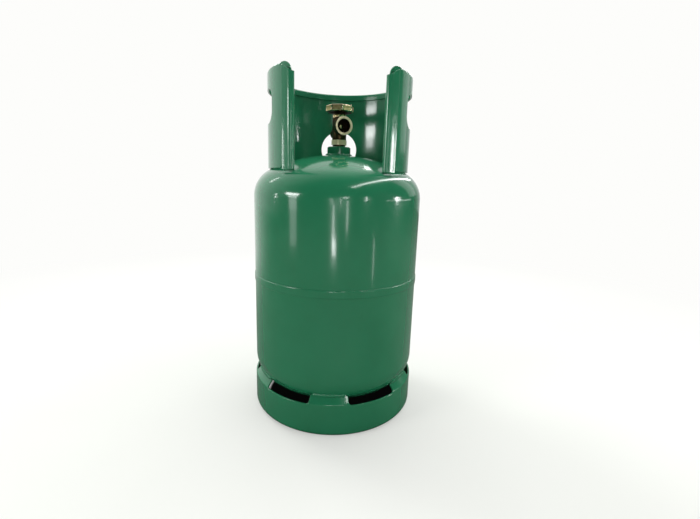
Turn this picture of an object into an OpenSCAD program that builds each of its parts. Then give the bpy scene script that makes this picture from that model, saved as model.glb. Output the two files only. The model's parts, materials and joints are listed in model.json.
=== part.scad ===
// Steel gas cylinder with a welded valve guard, a welded foot ring and a
// brass handwheel valve. Millimetres, +Z up, origin on the floor under the
// cylinder's axis, with the guard's opening facing -Y.

/* [Shell] */
// Outside diameter of the pressure shell
body_od = 300; // [240:1:360]
// Thickness of the pressed shell plate
shell_t = 2.6; // [2:0.1:4]
// Straight wall between the two heads' tangent lines
straight_h = 290; // [180:1:420]
// Height of the lower head above the floor
floor_gap = 25; // [18:1:40]
// Height of the seam above the lower head's tangent line
seam_rise = 147; // [90:1:170]
// Crown radius of a head, as a share of the diameter
crown_share = 0.9; // [0.85:0.01:1]
// Knuckle radius of a head, as a share of the diameter
knuckle_share = 0.17; // [0.15:0.01:0.18]

/* [Seam] */
// Length of the lower shell's joggled lip inside the upper shell
lip_h = 14; // [8:1:25]
// Width of the seam's weld bead
seam_w = 13.5; // [8:0.5:18]
// Height of the seam's weld bead above the shell
seam_proud = 1.2; // [0.5:0.1:2.5]

/* [Foot ring] */
// Outside diameter of the foot ring
ring_od = 303; // [270:1:363]
// Thickness of the foot ring's plate
ring_t = 3; // [2:0.1:4]
// Height of the foot ring's upright wall between the tabs
ring_h = 57.5; // [45:0.5:70]
// Outside radius of the rolled bottom edge
ring_roll = 10; // [6:0.5:14]
// Width of the flat face that the ring stands on
ring_flange = 10; // [8:1:20]
// Number of leaning tabs that are welded to the shell
tab_count = 6; // [3:1:8]
// Width of one tab, in degrees round the ring
tab_deg = 25.5; // [15:0.5:35]
// Lean of the tabs inwards from upright, in degrees
tab_lean = 41; // [35:1:48]
// Radius of the corners between a tab and the ring
tab_corner = 6; // [2:0.5:10]
// Turn of the foot ring against the guard, in degrees
ring_turn = -2.5; // [-30:0.5:30]

/* [Guard] */
// Outside diameter of the valve guard
guard_od = 250; // [210:1:256]
// Thickness of the guard's plate
guard_t = 3; // [2:0.1:4]
// Height of the guard's top edge above the shell's top
guard_rise = 128; // [110:1:170]
// Gap between the guard's bottom edge and the shell
guard_gap = 3; // [1:0.5:8]
// Half of the front opening, in degrees, to the middle of the hemmed edge's bend
mouth_deg = 35.5; // [25:0.5:45]
// Width of the outward hem beyond its bend, in degrees
hem_deg = 6; // [4:0.5:10]
// Clear space inside the outward hem
hem_gap = 6; // [3:0.5:9]
// Drop of the hem's top edge below the guard's top edge
hem_drop = 12.5; // [6:0.5:16]
// Slope of the hem's top edge, in degrees
hem_slope = 30; // [0:1:35]
// Radius of the guard's rounded top corners
horn_r = 16; // [8:1:24]
// Depth of the inward fold along the top edge
rim_fold = 8; // [5:0.5:14]
// Width of a hand hole, front to back
hand_w = 118; // [80:1:130]
// Height of a hand hole
hand_h = 54; // [35:1:60]
// Corner radius of a hand hole
hand_corner = 18; // [8:1:25]
// Height of a hand hole's middle above the shell's top
hand_rise = 72; // [60:1:90]
// Radius of the round hole in the guard's back
drain_r = 36.5; // [20:0.5:42]
// Height of the back hole's middle above the shell's top
drain_rise = 19; // [15:1:40]
// Half-width of each welded foot of the guard, in degrees
foot_half_deg = 7; // [4:0.5:10]
// Place of the rear feet, in degrees from the front
rear_foot_deg = 140; // [120:1:150]
// Leg of the weld fillets under the guard and round the bung
fillet_leg = 5; // [3:0.5:8]

/* [Bung] */
// Outside diameter of the threaded bung
bung_od = 41.5; // [36:0.5:50]
// Height of the bung above the shell
bung_h = 14.6; // [10:0.1:20]
// Diameter of the bung's spigot in the shell
spigot_od = 34; // [30:0.5:35]
// Length of the spigot below the bung's shoulder
spigot_h = 9; // [5:0.5:14]
// Diameter of the valve's threaded stem
stem_d = 24.8; // [20:0.1:27]

/* [Valve] */
// Width across flats of the body's hex
hex_af = 25; // [23:0.5:30]
// Height of the body's hex
hex_h = 8.5; // [6:0.5:12]
// Diameter of the valve body's barrel
barrel_d = 25; // [24.5:0.5:28]
// Height of the barrel's top above the bung's top
barrel_rise = 50; // [48:0.5:60]
// Turn of the outlet from the guard's opening, in degrees
outlet_turn = 20; // [-45:1:45]
// Height of the outlet's axis above the bung's top
outlet_rise = 34.5; // [33:0.5:37]
// Distance of the outlet's face from the valve's axis
outlet_reach = 24; // [24:0.5:34]
// Outside diameter of the outlet
outlet_od = 31; // [30:0.5:36]
// Diameter of the outlet's threaded hole
outlet_d = 23; // [18:0.5:25]
// Depth of the outlet's threaded hole
outlet_depth = 13.5; // [8:0.5:14]
// Height of the valve seat above the bung's top
seat_rise = 29.5; // [27:0.5:31]
// Lift of the seat carrier when the valve is open
lift = 4; // [2:0.5:4.5]

/* [Handwheel] */
// Width of the handwheel across its corners
wheel_w = 50; // [40:0.5:60]
// Height of the handwheel's rim
wheel_rim_h = 10.5; // [7:0.5:15]
// Number of flats round the handwheel
wheel_flats = 8; // [6:1:10]
// Turn of the handwheel's first corner from the front, in degrees
wheel_turn = 10; // [0:1:45]
// Chamfer along the handwheel's edges
wheel_chamfer = 1.6; // [0.5:0.1:2.5]
// Side of the spindle's square end
square_w = 7; // [5:0.1:7]
// Diameter of the spindle
spindle_d = 10; // [9:0.1:11]

/* [Relief valve] */
// Outside diameter of the relief valve's boss
relief_od = 16; // [14:0.5:17]
// Distance of the boss's end from the valve's axis
relief_reach = 27; // [25:0.5:32]
// Height of the relief valve's axis above the bung's top
relief_rise = 25; // [24:0.5:25]
// Diameter of the relief valve's bore
relief_bore_d = 11; // [9:0.1:11.5]
// Lift of the relief poppet
relief_lift = 1.5; // [0.5:0.5:2]

/* [Fits] */
// Gap between pieces that are screwed or pressed together
fit = 0.1; // [0.05:0.01:0.2]
// Radial gap of a running fit
running = 0.05; // [0.03:0.01:0.1]

/* [Hidden] */
$fn = 180;

paint = [0.14, 0.40, 0.28];
brass = [0.72, 0.62, 0.38];
steel = [0.62, 0.62, 0.60];
rubber = [0.10, 0.10, 0.10];
nylon = [0.90, 0.88, 0.82];

// Shell heights and head arcs
body_r = body_od / 2;
knuckle_r = knuckle_share * body_od;
crown_r = crown_share * body_od;
knuckle_x = body_r - knuckle_r;
crown_drop = sqrt(pow(crown_r - knuckle_r, 2) - pow(knuckle_x, 2));
join_cos = knuckle_x / (crown_r - knuckle_r);
head_h = crown_r - crown_drop;
low_z = floor_gap + head_h;
high_z = low_z + straight_h;
top_z = high_z + head_h;
seam_z = low_z + seam_rise;

// Height of the upper head's outside at a radius, on its knuckle or its crown
function head_z(r) = r > knuckle_x + knuckle_r * join_cos
    ? high_z + sqrt(pow(knuckle_r, 2) - pow(r - knuckle_x, 2))
    : high_z - crown_drop + sqrt(pow(crown_r, 2) - pow(r, 2));

// Seam
bevel = shell_t;
lip_r = body_r - shell_t - fit;
root_gap = 1;
// A head's middle is flat by this much
pole_flat = 0.01;

// Foot ring
ring_r = ring_od / 2;
ring_pitch = 360 / tab_count;
lean_dir = [-sin(tab_lean), cos(tab_lean)];
lean_out = [cos(tab_lean), sin(tab_lean)];
bend_z = ring_h + 0.8;
tab_from = [ring_r - ring_t, bend_z];
to_knuckle = tab_from - [knuckle_x, low_z];
along = to_knuckle * lean_dir;
// Length of a tab from its bend to where its inner edge meets the lower head
tab_len = -along - sqrt(along * along - to_knuckle * to_knuckle + knuckle_r * knuckle_r);
tab_tip = tab_from + tab_len * lean_dir;

// Guard
guard_r = guard_od / 2;
guard_in = guard_r - guard_t;
guard_top = top_z + guard_rise;
guard_low = head_z(guard_r) + guard_gap;
hem_low = head_z(guard_r);
strip_in = guard_r + hem_gap;
strip_out = strip_in + guard_t;
bend_r = (guard_in + strip_out) / 2;
bend_out = (strip_out - guard_in) / 2;
bend_in = hem_gap / 2;
fold_out = guard_t + 0.3;
strip_deg = mouth_deg + hem_deg;
front_foot_deg = mouth_deg + hem_deg + 2;
rim_deg = mouth_deg + 12;
horn_lip = 2.3;
bend_leg = 1;
bend_leg_deg = bend_leg / guard_r * 180 / PI;
arch_r = 4.5;
arch_deg = 2;

// Bung and valve heights
bung_r = bung_od / 2;
spigot_r = spigot_od / 2;
shoulder_z = head_z(spigot_r);
bung_top = shoulder_z + bung_h;
stem_r = stem_d / 2;
stem_h = 20;
collar_h = 3.5;
barrel_r = barrel_d / 2;
barrel_top = bung_top + barrel_rise;
outlet_z = bung_top + outlet_rise;
outlet_r = outlet_d / 2;
outlet_wall_r = outlet_od / 2;
outlet_neck_r = 13;
outlet_neck_y = 8;
outlet_full_y = 10.5;
seat_z = bung_top + seat_rise;
seat_r = 3.5;
seat_ring_r = 4.8;
seat_ring_h = 1;
inlet_r = 4;
chamber_r = 8;
bonnet_bore_r = 9.5;
port_r = 3.5;

// Seat carrier, spindle and bonnet, from the seat upwards
disc_r = 5.6;
disc_h = 2.8;
disc_bare = 0.8;
carrier_low = seat_z + fit + disc_bare;
carrier_h = 10;
carrier_top = carrier_low + carrier_h;
bonnet_low = carrier_top + lift + 0.6;
collar_r = 7;
collar_low = bonnet_low + 0.4;
collar_top = collar_low + 2;
washer_t = 0.5;
washer_top = collar_top + washer_t;
tang_w = 9;
tang_t = 2.4;
slot_low = carrier_low + disc_h;
tang_low = slot_low + lift + 0.4;
bonnet_seal_t = 0.8;
bonnet_hex_low = barrel_top + bonnet_seal_t;
bonnet_hex_h = 5;
bonnet_top = bonnet_hex_low + bonnet_hex_h;
bonnet_af = 22;
spindle_r = spindle_d / 2;
ring_groove_r = spindle_r - 1.3;
ring_wire_r = (spindle_r + running - ring_groove_r) / 2 - 0.015;
o_ring_z = [washer_top + 1.9, washer_top + 4.5];

// Handwheel
hub_low = bonnet_top + 0.8;
hub_r = 13;
hub_h = 2.6;
wheel_low = hub_low + hub_h;
wheel_top = wheel_low + wheel_rim_h;
wheel_r = wheel_w / 2;
recess_r = 9;
recess_h = 3;
wheel_seat_z = wheel_top - recess_h;
stud_r = 2.5;
nut_af = 9;
nut_h = 4;
nut_washer_t = 1;

// Relief valve, along the boss from the valve's axis
relief_z = bung_top + relief_rise;
relief_r = relief_od / 2;
relief_bore_r = relief_bore_d / 2;
relief_floor = 12;
relief_port_r = 2;
seal_t = 1.5;
seal_r = relief_bore_r - 1.4;
poppet_y = relief_floor + fit + seal_t;
poppet_t = 2;
poppet_stem_r = 1.6;
cap_depth = 5;
cap_in = relief_reach - cap_depth;
cap_head = 3;
cap_af = 13;
spring_wire_r = 0.4;
spring_r = relief_bore_r - 1.7;
spring_turns = 4;

eps = 0.01;

// Flat area of a head, from its tangent line at height z, thinned by t
module head_area(z, t) {
    k = knuckle_r - t;
    c = crown_r - t;
    join_x = knuckle_x + k * join_cos;
    intersection() {
        translate([0, z - crown_drop]) circle(r = c, $fn = 360);
        translate([0, z]) square([join_x, head_h - t - pole_flat]);
    }
    intersection() {
        translate([knuckle_x, z]) circle(r = k);
        translate([knuckle_x, z]) square([k, k]);
    }
    translate([0, z - 1]) square([knuckle_x + k, 1]);
}

// Flat half-section of the whole closed vessel, thinned by t all round
module vessel_area(t) {
    head_area(high_z, t);
    translate([0, low_z]) square([body_r - t, straight_h]);
    translate([0, 2 * low_z]) mirror([0, 1]) head_area(low_z, t);
}

// Solid wedge from angle a to angle b, counted from -Y towards +X
module wedge(a, b, r, z, h) {
    n = ceil((b - a) / 30);
    pts = [for (i = [0 : n]) 2 * r * [sin(a + (b - a) * i / n), -cos(a + (b - a) * i / n)]];
    translate([0, 0, z]) linear_extrude(h) polygon(concat([[0, 0]], pts));
}

// Places a child, drawn at -Y, at an angle counted towards +X
module at_angle(a) {
    rotate([0, 0, a]) children();
}

module hex_prism(af, h) {
    cylinder(d = af / cos(30), h = h, $fn = 6);
}

// ---------- Pressure shell ----------

module upper_shell() {
    color(paint) rotate_extrude() difference() {
        vessel_area(0);
        vessel_area(shell_t);
        square([body_r + 1, seam_z + root_gap]);
        translate([0, high_z]) square([spigot_r + fit, head_h]);
    }
}

module lower_shell() {
    joggle = shell_t + fit;
    color(paint) rotate_extrude() difference() {
        vessel_area(0);
        // The inside, which narrows at the joggle
        difference() {
            vessel_area(shell_t);
            polygon([
                [lip_r - shell_t, seam_z - bevel],
                [lip_r - shell_t, 2 * top_z],
                [lip_r - shell_t + 2 * joggle, 2 * top_z],
                [lip_r - shell_t + 2 * joggle, seam_z - bevel - 2 * shell_t]
            ]);
        }
        // Outside of the lip
        polygon([
            [lip_r, seam_z],
            [lip_r, 2 * top_z],
            [body_r + joggle, 2 * top_z],
            [body_r + joggle, seam_z - bevel - shell_t],
            [body_r, seam_z - bevel]
        ]);
        translate([0, seam_z + lip_h]) square([body_r + 1, top_z]);
    }
}

module seam_weld() {
    half = seam_w / 2;
    color(paint) rotate_extrude() polygon([
        [lip_r, seam_z],
        [body_r, seam_z - bevel],
        [body_r, seam_z - half],
        [body_r + seam_proud * 0.6, seam_z - half + 0.6],
        [body_r + seam_proud, seam_z - half + 2],
        [body_r + seam_proud, seam_z + half - 2],
        [body_r + seam_proud * 0.6, seam_z + half - 0.6],
        [body_r, seam_z + half],
        [body_r, seam_z + root_gap],
        [lip_r, seam_z + root_gap]
    ]);
}

// ---------- Foot ring ----------

// Half-section of the ring: flat flange, rolled corner, wall and leaning tab
module ring_section() {
    roll_x = ring_r - ring_roll;
    difference() {
        union() {
            translate([roll_x, ring_roll]) circle(r = ring_roll);
            translate([roll_x - ring_flange, 0]) square([ring_flange, ring_t]);
            translate([ring_r - ring_t, ring_roll]) square([ring_t, bend_z - ring_roll]);
        }
        translate([roll_x, ring_roll]) circle(r = ring_roll - ring_t);
        translate([roll_x - ring_roll - 1, ring_t]) square([ring_roll + 1, 2 * ring_roll]);
        translate([roll_x - 1, ring_roll]) square([ring_roll - ring_t + 1, ring_roll + 1]);
    }
    polygon([
        tab_from - [0, 2],
        tab_from + [ring_t, -2],
        tab_from + [ring_t, 0],
        tab_tip + ring_t * lean_out,
        tab_tip,
        tab_from
    ]);
}

// Outline of one cut-out between two tabs, with rounded lower corners
module cutout_outline() {
    half = (ring_pitch - tab_deg) / 2;
    tip = tab_tip + ring_t * lean_out;
    low = ring_r * sin(half);
    taper = (low - tip[0] * sin(half)) / (tip[1] - ring_h);
    slant = sqrt(1 + taper * taper);
    x = low - tab_corner * (taper + slant);
    z = ring_h + tab_corner;
    side = [x + tab_corner / slant, z + tab_corner * taper / slant];
    high = side + ring_h * [-taper, 1];
    polygon([
        [-x, ring_h],
        [x, ring_h],
        side,
        high,
        [-high[0], high[1]],
        [-side[0], side[1]]
    ]);
    for (s = [-1, 1]) translate([s * x, z]) circle(r = tab_corner, $fn = 60);
}

module foot_ring() {
    color(paint) difference() {
        rotate_extrude() ring_section();
        for (i = [0 : tab_count - 1])
            at_angle(ring_turn + (i + 0.5) * ring_pitch) translate([0, -ring_r / 2, 0])
                rotate([90, 0, 0]) linear_extrude(ring_r) cutout_outline();
    }
}

module foot_ring_welds() {
    knuckle = [knuckle_x, low_z];
    out = (tab_tip - knuckle) / knuckle_r;
    up = [-out[1], out[0]];
    turn = fillet_leg / knuckle_r * 180 / PI;
    upper = knuckle + knuckle_r * (cos(turn) * out + sin(turn) * up);
    color(paint) for (i = [0 : tab_count - 1]) {
        a = ring_turn + i * ring_pitch;
        intersection() {
            rotate_extrude($fn = 360) difference() {
                polygon([
                    tab_tip - 2 * out,
                    tab_tip,
                    tab_tip + ring_t * lean_out,
                    upper + 0.4 * out,
                    upper - 2 * out
                ]);
                vessel_area(0);
            }
            wedge(a - tab_deg / 2 + 1.5, a + tab_deg / 2 - 1.5, ring_r, 0, low_z);
        }
    }
}

// ---------- Valve guard ----------

// Round plate from angle a to angle b, between radius r and the plate's thickness inside it
module curved_plate(r, a, b, z, h) {
    intersection() {
        translate([0, 0, z]) difference() {
            cylinder(r = r, h = h);
            translate([0, 0, -1]) cylinder(r = r - guard_t, h = h + 2);
        }
        wedge(a, b, r, z - 1, h + 2);
    }
}

// Plan of the hem's bend, with a short straight end on each leg
module bend_plan() {
    difference() {
        union() {
            circle(r = bend_out, $fn = 90);
            translate([0, -bend_out]) square([2 * bend_leg, 2 * bend_out]);
        }
        circle(r = bend_in, $fn = 60);
        translate([0, -bend_in]) square([bend_out, 2 * bend_in]);
        translate([2 * bend_leg, -2 * bend_out]) square([bend_out, 4 * bend_out]);
    }
}

// Bend and outer strip of the outward hem, drawn for the +X side
module hem() {
    translate([0, 0, hem_low]) at_angle(mouth_deg) translate([0, -bend_r, 0])
        linear_extrude(guard_top - hem_low) bend_plan();
    curved_plate(strip_out, mouth_deg + bend_leg_deg, strip_deg, hem_low, guard_top - hem_low);
}

// Half-section of the inward fold along the top edge
module rim_section() {
    fold_x = guard_r - fold_out;
    fold_z = guard_top - fold_out;
    intersection() {
        translate([fold_x, fold_z]) difference() {
            circle(r = fold_out, $fn = 60);
            circle(r = fold_out - guard_t, $fn = 60);
        }
        translate([fold_x - fold_out, fold_z]) square([2 * fold_out, fold_out]);
    }
    translate([fold_x - fold_out, fold_z - rim_fold]) square([guard_t, rim_fold]);
    translate([guard_in, fold_z - 2]) square([guard_t, 2]);
}

module hand_hole_plan() {
    x = hand_w / 2 - hand_corner;
    y = hand_h / 2 - hand_corner;
    square([hand_w, hand_h - 2 * hand_corner], center = true);
    square([hand_w - 2 * hand_corner, hand_h], center = true);
    for (sx = [-1, 1], sy = [-1, 1]) translate([sx * x, sy * y]) circle(r = hand_corner);
}

// Cuts the hem and its bend along a slope, drawn for the +X side
module hem_top_cut() {
    difference() {
        at_angle(mouth_deg) translate([0, -strip_out - 5, guard_top - hem_drop - horn_lip])
            rotate([0, -hem_slope, 0]) translate([-20, 0, 0]) cube([60, 40, 60]);
        difference() {
            translate([0, 0, high_z]) cylinder(r = guard_r + hem_gap / 2, h = 2 * guard_rise);
            wedge(mouth_deg - 20, mouth_deg, guard_r, high_z - 1, 3 * guard_rise);
        }
    }
}

// Rounds the wall's top corner beside the mouth, drawn for the +X side
module horn_cut() {
    intersection() {
        at_angle(mouth_deg) translate([horn_lip, -guard_r - 10, guard_top - horn_r]) difference() {
            translate([-horn_lip - 0.5, 0, 0]) cube([horn_r + horn_lip + 0.5, 20, horn_r + 10]);
            translate([horn_r, -1, 0]) rotate([-90, 0, 0]) cylinder(r = horn_r, h = 22);
        }
        translate([0, 0, high_z]) cylinder(r = guard_r + hem_gap / 2, h = 2 * guard_rise);
    }
}

module valve_guard() {
    rear_a = rear_foot_deg - foot_half_deg;
    rear_b = rear_foot_deg + foot_half_deg;
    wall_top = guard_top - fold_out;
    near = mouth_deg + bend_leg_deg;
    color(paint) difference() {
        union() {
            curved_plate(guard_r, near, 360 - near, high_z, wall_top - high_z);
            for (s = [0, 1]) mirror([s, 0, 0]) {
                hem();
                curved_plate(guard_r, near, rim_deg, wall_top - 1, fold_out + 1);
            }
            difference() {
                rotate_extrude() rim_section();
                wedge(-rim_deg, rim_deg, guard_r, high_z, 2 * guard_rise);
            }
        }
        rotate_extrude() vessel_area(0);
        for (s = [0, 1]) mirror([s, 0, 0]) {
            hem_top_cut();
            horn_cut();
            wedge(front_foot_deg, rear_a, guard_r, high_z - 1, guard_low - high_z + 1);
            wedge(rear_b, 181, guard_r, high_z - 1, guard_low - high_z + 1);
            // Arch beside the front foot
            at_angle(front_foot_deg + arch_deg) translate([0, -guard_r - 1, guard_low]) rotate([-90, 0, 0])
                cylinder(r = arch_r, h = guard_t + 2, $fn = 60);
        }
        // Hand holes, then the back hole
        translate([-guard_od, 0, top_z + hand_rise]) rotate([90, 0, 90])
            linear_extrude(2 * guard_od) hand_hole_plan();
        translate([0, guard_in - 20, top_z + drain_rise]) rotate([-90, 0, 0])
            cylinder(r = drain_r, h = 40);
    }
}

// Ring of triangular fillet on the upper head, on the side given by sign
module fillet_ring(r, side) {
    z = head_z(r);
    rotate_extrude() difference() {
        polygon([
            [r, z - 2 * fillet_leg],
            [r, z + fillet_leg],
            [r + side * fillet_leg, z - side * fillet_leg * 0.5],
            [r + side * fillet_leg, z - 2 * fillet_leg]
        ]);
        vessel_area(0);
    }
}

module guard_welds() {
    color(paint) for (s = [0, 1]) mirror([s, 0, 0]) {
        intersection() {
            fillet_ring(guard_in, -1);
            wedge(mouth_deg, front_foot_deg - 1, guard_r, high_z, head_h);
        }
        intersection() {
            fillet_ring(guard_r, 1);
            wedge(rear_foot_deg - foot_half_deg + 1, rear_foot_deg + foot_half_deg - 1,
                guard_r, high_z, head_h);
        }
    }
}

// ---------- Bung ----------

module bung() {
    chamfer = 1.5;
    color(paint) rotate_extrude() polygon([
        [stem_r + fit, shoulder_z - spigot_h],
        [spigot_r, shoulder_z - spigot_h],
        [spigot_r, shoulder_z],
        [bung_r, shoulder_z],
        [bung_r, bung_top - chamfer],
        [bung_r - chamfer, bung_top],
        [stem_r + fit, bung_top]
    ]);
}

module bung_weld() {
    color(paint) rotate_extrude() difference() {
        polygon([
            [bung_r, shoulder_z - 3],
            [bung_r, shoulder_z + fillet_leg],
            [bung_r + fillet_leg, shoulder_z - 0.6],
            [bung_r + fillet_leg, shoulder_z - 3]
        ]);
        vessel_area(0);
    }
}

// ---------- Valve ----------

// Turns a child so that its -Y side is the outlet's side
module valve_frame() {
    rotate([0, 0, outlet_turn]) children();
}

// Moves a child drawn along +Z onto the outlet's axis, pointing out of it
module on_outlet() {
    translate([0, 0, outlet_z]) rotate([90, 0, 0]) children();
}

// Moves a child drawn along +Z onto the relief valve's axis, pointing out of it
module on_relief() {
    translate([0, 0, relief_z]) rotate([-90, 0, 0]) children();
}

module valve_body() {
    hex_low = bung_top + collar_h;
    color(brass) valve_frame() difference() {
        union() {
            translate([0, 0, bung_top - stem_h]) cylinder(r = stem_r, h = stem_h + 0.5);
            translate([0, 0, bung_top + 0.2]) cylinder(r = stem_r - 1, h = collar_h);
            translate([0, 0, hex_low]) hex_prism(hex_af, hex_h);
            translate([0, 0, hex_low + hex_h]) cylinder(r = barrel_r, h = barrel_top - hex_low - hex_h);
            on_outlet() {
                cylinder(r = outlet_neck_r, h = outlet_neck_y);
                translate([0, 0, outlet_neck_y])
                    cylinder(r1 = outlet_neck_r, r2 = outlet_wall_r, h = outlet_full_y - outlet_neck_y);
                translate([0, 0, outlet_full_y]) cylinder(r = outlet_wall_r, h = outlet_reach - outlet_full_y);
            }
            on_relief() cylinder(r = relief_r, h = relief_reach);
        }
        // Inlet, seat, chamber and the bonnet's bore
        translate([0, 0, bung_top - stem_h - 1]) cylinder(r = inlet_r, h = seat_rise + stem_h - 4);
        translate([0, 0, bung_top]) cylinder(r = seat_r, h = seat_rise + 1);
        translate([0, 0, seat_z - seat_ring_h]) difference() {
            cylinder(r = chamber_r, h = 30);
            cylinder(r = seat_ring_r, h = seat_ring_h);
        }
        translate([0, 0, bonnet_low - 0.5]) cylinder(r = bonnet_bore_r, h = 30);
        // Outlet and its port
        on_outlet() {
            translate([0, 0, outlet_reach - outlet_depth]) cylinder(r = outlet_r, h = outlet_depth + 1);
            translate([0, 0, outlet_reach - 1]) cylinder(r1 = outlet_r, r2 = outlet_r + 1.2, h = 1.2);
            translate([0, 0, chamber_r - 3]) cylinder(r = port_r, h = outlet_reach);
        }
        // Relief valve's bore and port
        on_relief() {
            translate([0, 0, relief_floor]) cylinder(r = relief_bore_r, h = relief_reach);
            cylinder(r = relief_port_r, h = relief_reach);
        }
    }
}

module bonnet() {
    color(brass) valve_frame() difference() {
        union() {
            translate([0, 0, bonnet_low])
                cylinder(r = bonnet_bore_r - fit, h = bonnet_hex_low - bonnet_low);
            intersection() {
                translate([0, 0, bonnet_hex_low]) hex_prism(bonnet_af, bonnet_hex_h);
                translate([0, 0, bonnet_hex_low - 6])
                    cylinder(r1 = bonnet_af / 2 + 7.4, r2 = bonnet_af / 2, h = bonnet_hex_h + 6);
            }
        }
        translate([0, 0, bonnet_low - 1]) cylinder(r = spindle_r + running, h = 40);
        translate([0, 0, bonnet_low - 1]) cylinder(r = collar_r + 0.2, h = washer_top - bonnet_low + 1);
    }
}

module bonnet_washer() {
    color(nylon) translate([0, 0, barrel_top]) difference() {
        cylinder(r = bonnet_af / 2 - 0.3, h = bonnet_seal_t);
        translate([0, 0, -1]) cylinder(r = bonnet_bore_r, h = bonnet_seal_t + 2);
    }
}

module spindle() {
    stud_top = wheel_seat_z + nut_washer_t + nut_h + 1;
    color(brass) difference() {
        union() {
            translate([-tang_w / 2, -tang_t / 2, tang_low]) cube([tang_w, tang_t, collar_low - tang_low]);
            translate([0, 0, collar_low]) cylinder(r = collar_r, h = collar_top - collar_low);
            translate([0, 0, collar_top]) cylinder(r = spindle_r, h = hub_low - collar_top);
            rotate([0, 0, wheel_turn]) translate([-square_w / 2, -square_w / 2, hub_low - 0.7])
                cube([square_w, square_w, wheel_seat_z + 0.4 - hub_low]);
            translate([0, 0, wheel_seat_z - 1]) cylinder(r = stud_r, h = stud_top - wheel_seat_z + 1);
        }
        for (z = o_ring_z) translate([0, 0, z - 0.9]) difference() {
            cylinder(r = spindle_r + 1, h = 1.8);
            translate([0, 0, -1]) cylinder(r = ring_groove_r, h = 4);
        }
    }
}

module spindle_o_rings() {
    color(rubber) for (z = o_ring_z)
        translate([0, 0, z]) rotate_extrude() translate([ring_groove_r + ring_wire_r, 0])
            circle(r = ring_wire_r, $fn = 24);
}

module spindle_washer() {
    color(nylon) translate([0, 0, collar_top]) difference() {
        cylinder(r = collar_r, h = washer_t);
        translate([0, 0, -1]) cylinder(r = spindle_r + running, h = 3);
    }
}

module seat_carrier() {
    color(brass) difference() {
        translate([0, 0, carrier_low]) cylinder(r = chamber_r - running, h = carrier_h);
        translate([0, 0, carrier_low - 1]) cylinder(r = disc_r + running, h = disc_h - disc_bare + 1);
        translate([-tang_w / 2 - 0.3, -tang_t / 2 - 0.15, slot_low])
            cube([tang_w + 0.6, tang_t + 0.3, carrier_h]);
    }
}

module seat_disc() {
    color(nylon) translate([0, 0, carrier_low - disc_bare]) cylinder(r = disc_r, h = disc_h);
}

// ---------- Handwheel ----------

module handwheel() {
    flat_r = wheel_r * cos(180 / wheel_flats);
    square_gap = square_w + 2 * running;
    color(brass) rotate([0, 0, wheel_turn - 90]) difference() {
        union() {
            intersection() {
                translate([0, 0, wheel_low]) cylinder(r = wheel_r, h = wheel_rim_h, $fn = wheel_flats);
                rotate_extrude() polygon([
                    [0, wheel_low],
                    [wheel_r - 2 * wheel_chamfer, wheel_low],
                    [wheel_r, wheel_low + wheel_chamfer],
                    [wheel_r, wheel_top - wheel_chamfer],
                    [wheel_r - 2 * wheel_chamfer, wheel_top],
                    [0, wheel_top]
                ]);
            }
            translate([0, 0, hub_low]) cylinder(r1 = hub_r, r2 = flat_r - 1.5, h = hub_h);
        }
        translate([-square_gap / 2, -square_gap / 2, hub_low - 1]) cube([square_gap, square_gap, wheel_top]);
        translate([0, 0, wheel_seat_z]) cylinder(r = recess_r, h = recess_h + 1);
    }
}

module handwheel_washer() {
    color(steel) translate([0, 0, wheel_seat_z]) difference() {
        cylinder(r = recess_r - 2, h = nut_washer_t);
        translate([0, 0, -1]) cylinder(r = stud_r + running, h = 4);
    }
}

module handwheel_nut() {
    color(steel) translate([0, 0, wheel_seat_z + nut_washer_t]) difference() {
        hex_prism(nut_af, nut_h);
        translate([0, 0, -1]) cylinder(r = stud_r + running, h = nut_h + 2);
    }
}

// ---------- Relief valve ----------

module relief_cap() {
    color(brass) valve_frame() on_relief() difference() {
        union() {
            translate([0, 0, cap_in]) cylinder(r = relief_bore_r - fit, h = cap_depth);
            translate([0, 0, relief_reach]) hex_prism(cap_af, cap_head);
        }
        translate([0, 0, cap_in - 1]) cylinder(r = poppet_stem_r + 0.4, h = cap_depth + cap_head + 2);
    }
}

module relief_poppet() {
    color(brass) valve_frame() on_relief() {
        translate([0, 0, poppet_y]) cylinder(r = relief_bore_r - 0.4, h = poppet_t);
        translate([0, 0, poppet_y + poppet_t - eps])
            cylinder(r = poppet_stem_r, h = cap_in - poppet_y - poppet_t + 3 + eps);
    }
}

module relief_seal() {
    color(rubber) valve_frame() on_relief() translate([0, 0, relief_floor + fit]) cylinder(r = seal_r, h = seal_t);
}

// Round wire wound evenly between the poppet's flange and the cap
module relief_spring() {
    z0 = poppet_y + poppet_t + spring_wire_r + 0.05;
    z1 = cap_in - spring_wire_r - 0.05;
    steps = 16 * spring_turns;
    sides = 8;
    pts = [for (i = [0 : steps], j = [0 : sides - 1])
        let (a = 360 * i * spring_turns / steps, b = 360 * j / sides,
            r = spring_r + spring_wire_r * cos(b),
            z = z0 + (z1 - z0) * i / steps + spring_wire_r * sin(b))
        [r * cos(a), r * sin(a), z]];
    walls = [for (i = [0 : steps - 1], j = [0 : sides - 1])
        let (k = (j + 1) % sides)
        [i * sides + j, i * sides + k, (i + 1) * sides + k, (i + 1) * sides + j]];
    ends = [
        [for (j = [sides - 1 : -1 : 0]) j],
        [for (j = [0 : sides - 1]) steps * sides + j]
    ];
    color(steel) valve_frame() on_relief() polyhedron(pts, concat(walls, ends));
}

lower_shell();
upper_shell();
seam_weld();
foot_ring();
foot_ring_welds();
valve_guard();
guard_welds();
bung();
bung_weld();
valve_body();
bonnet();
bonnet_washer();
spindle();
spindle_o_rings();
spindle_washer();
seat_carrier();
seat_disc();
handwheel();
handwheel_washer();
handwheel_nut();
relief_cap();
relief_poppet();
relief_seal();
relief_spring();
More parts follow.
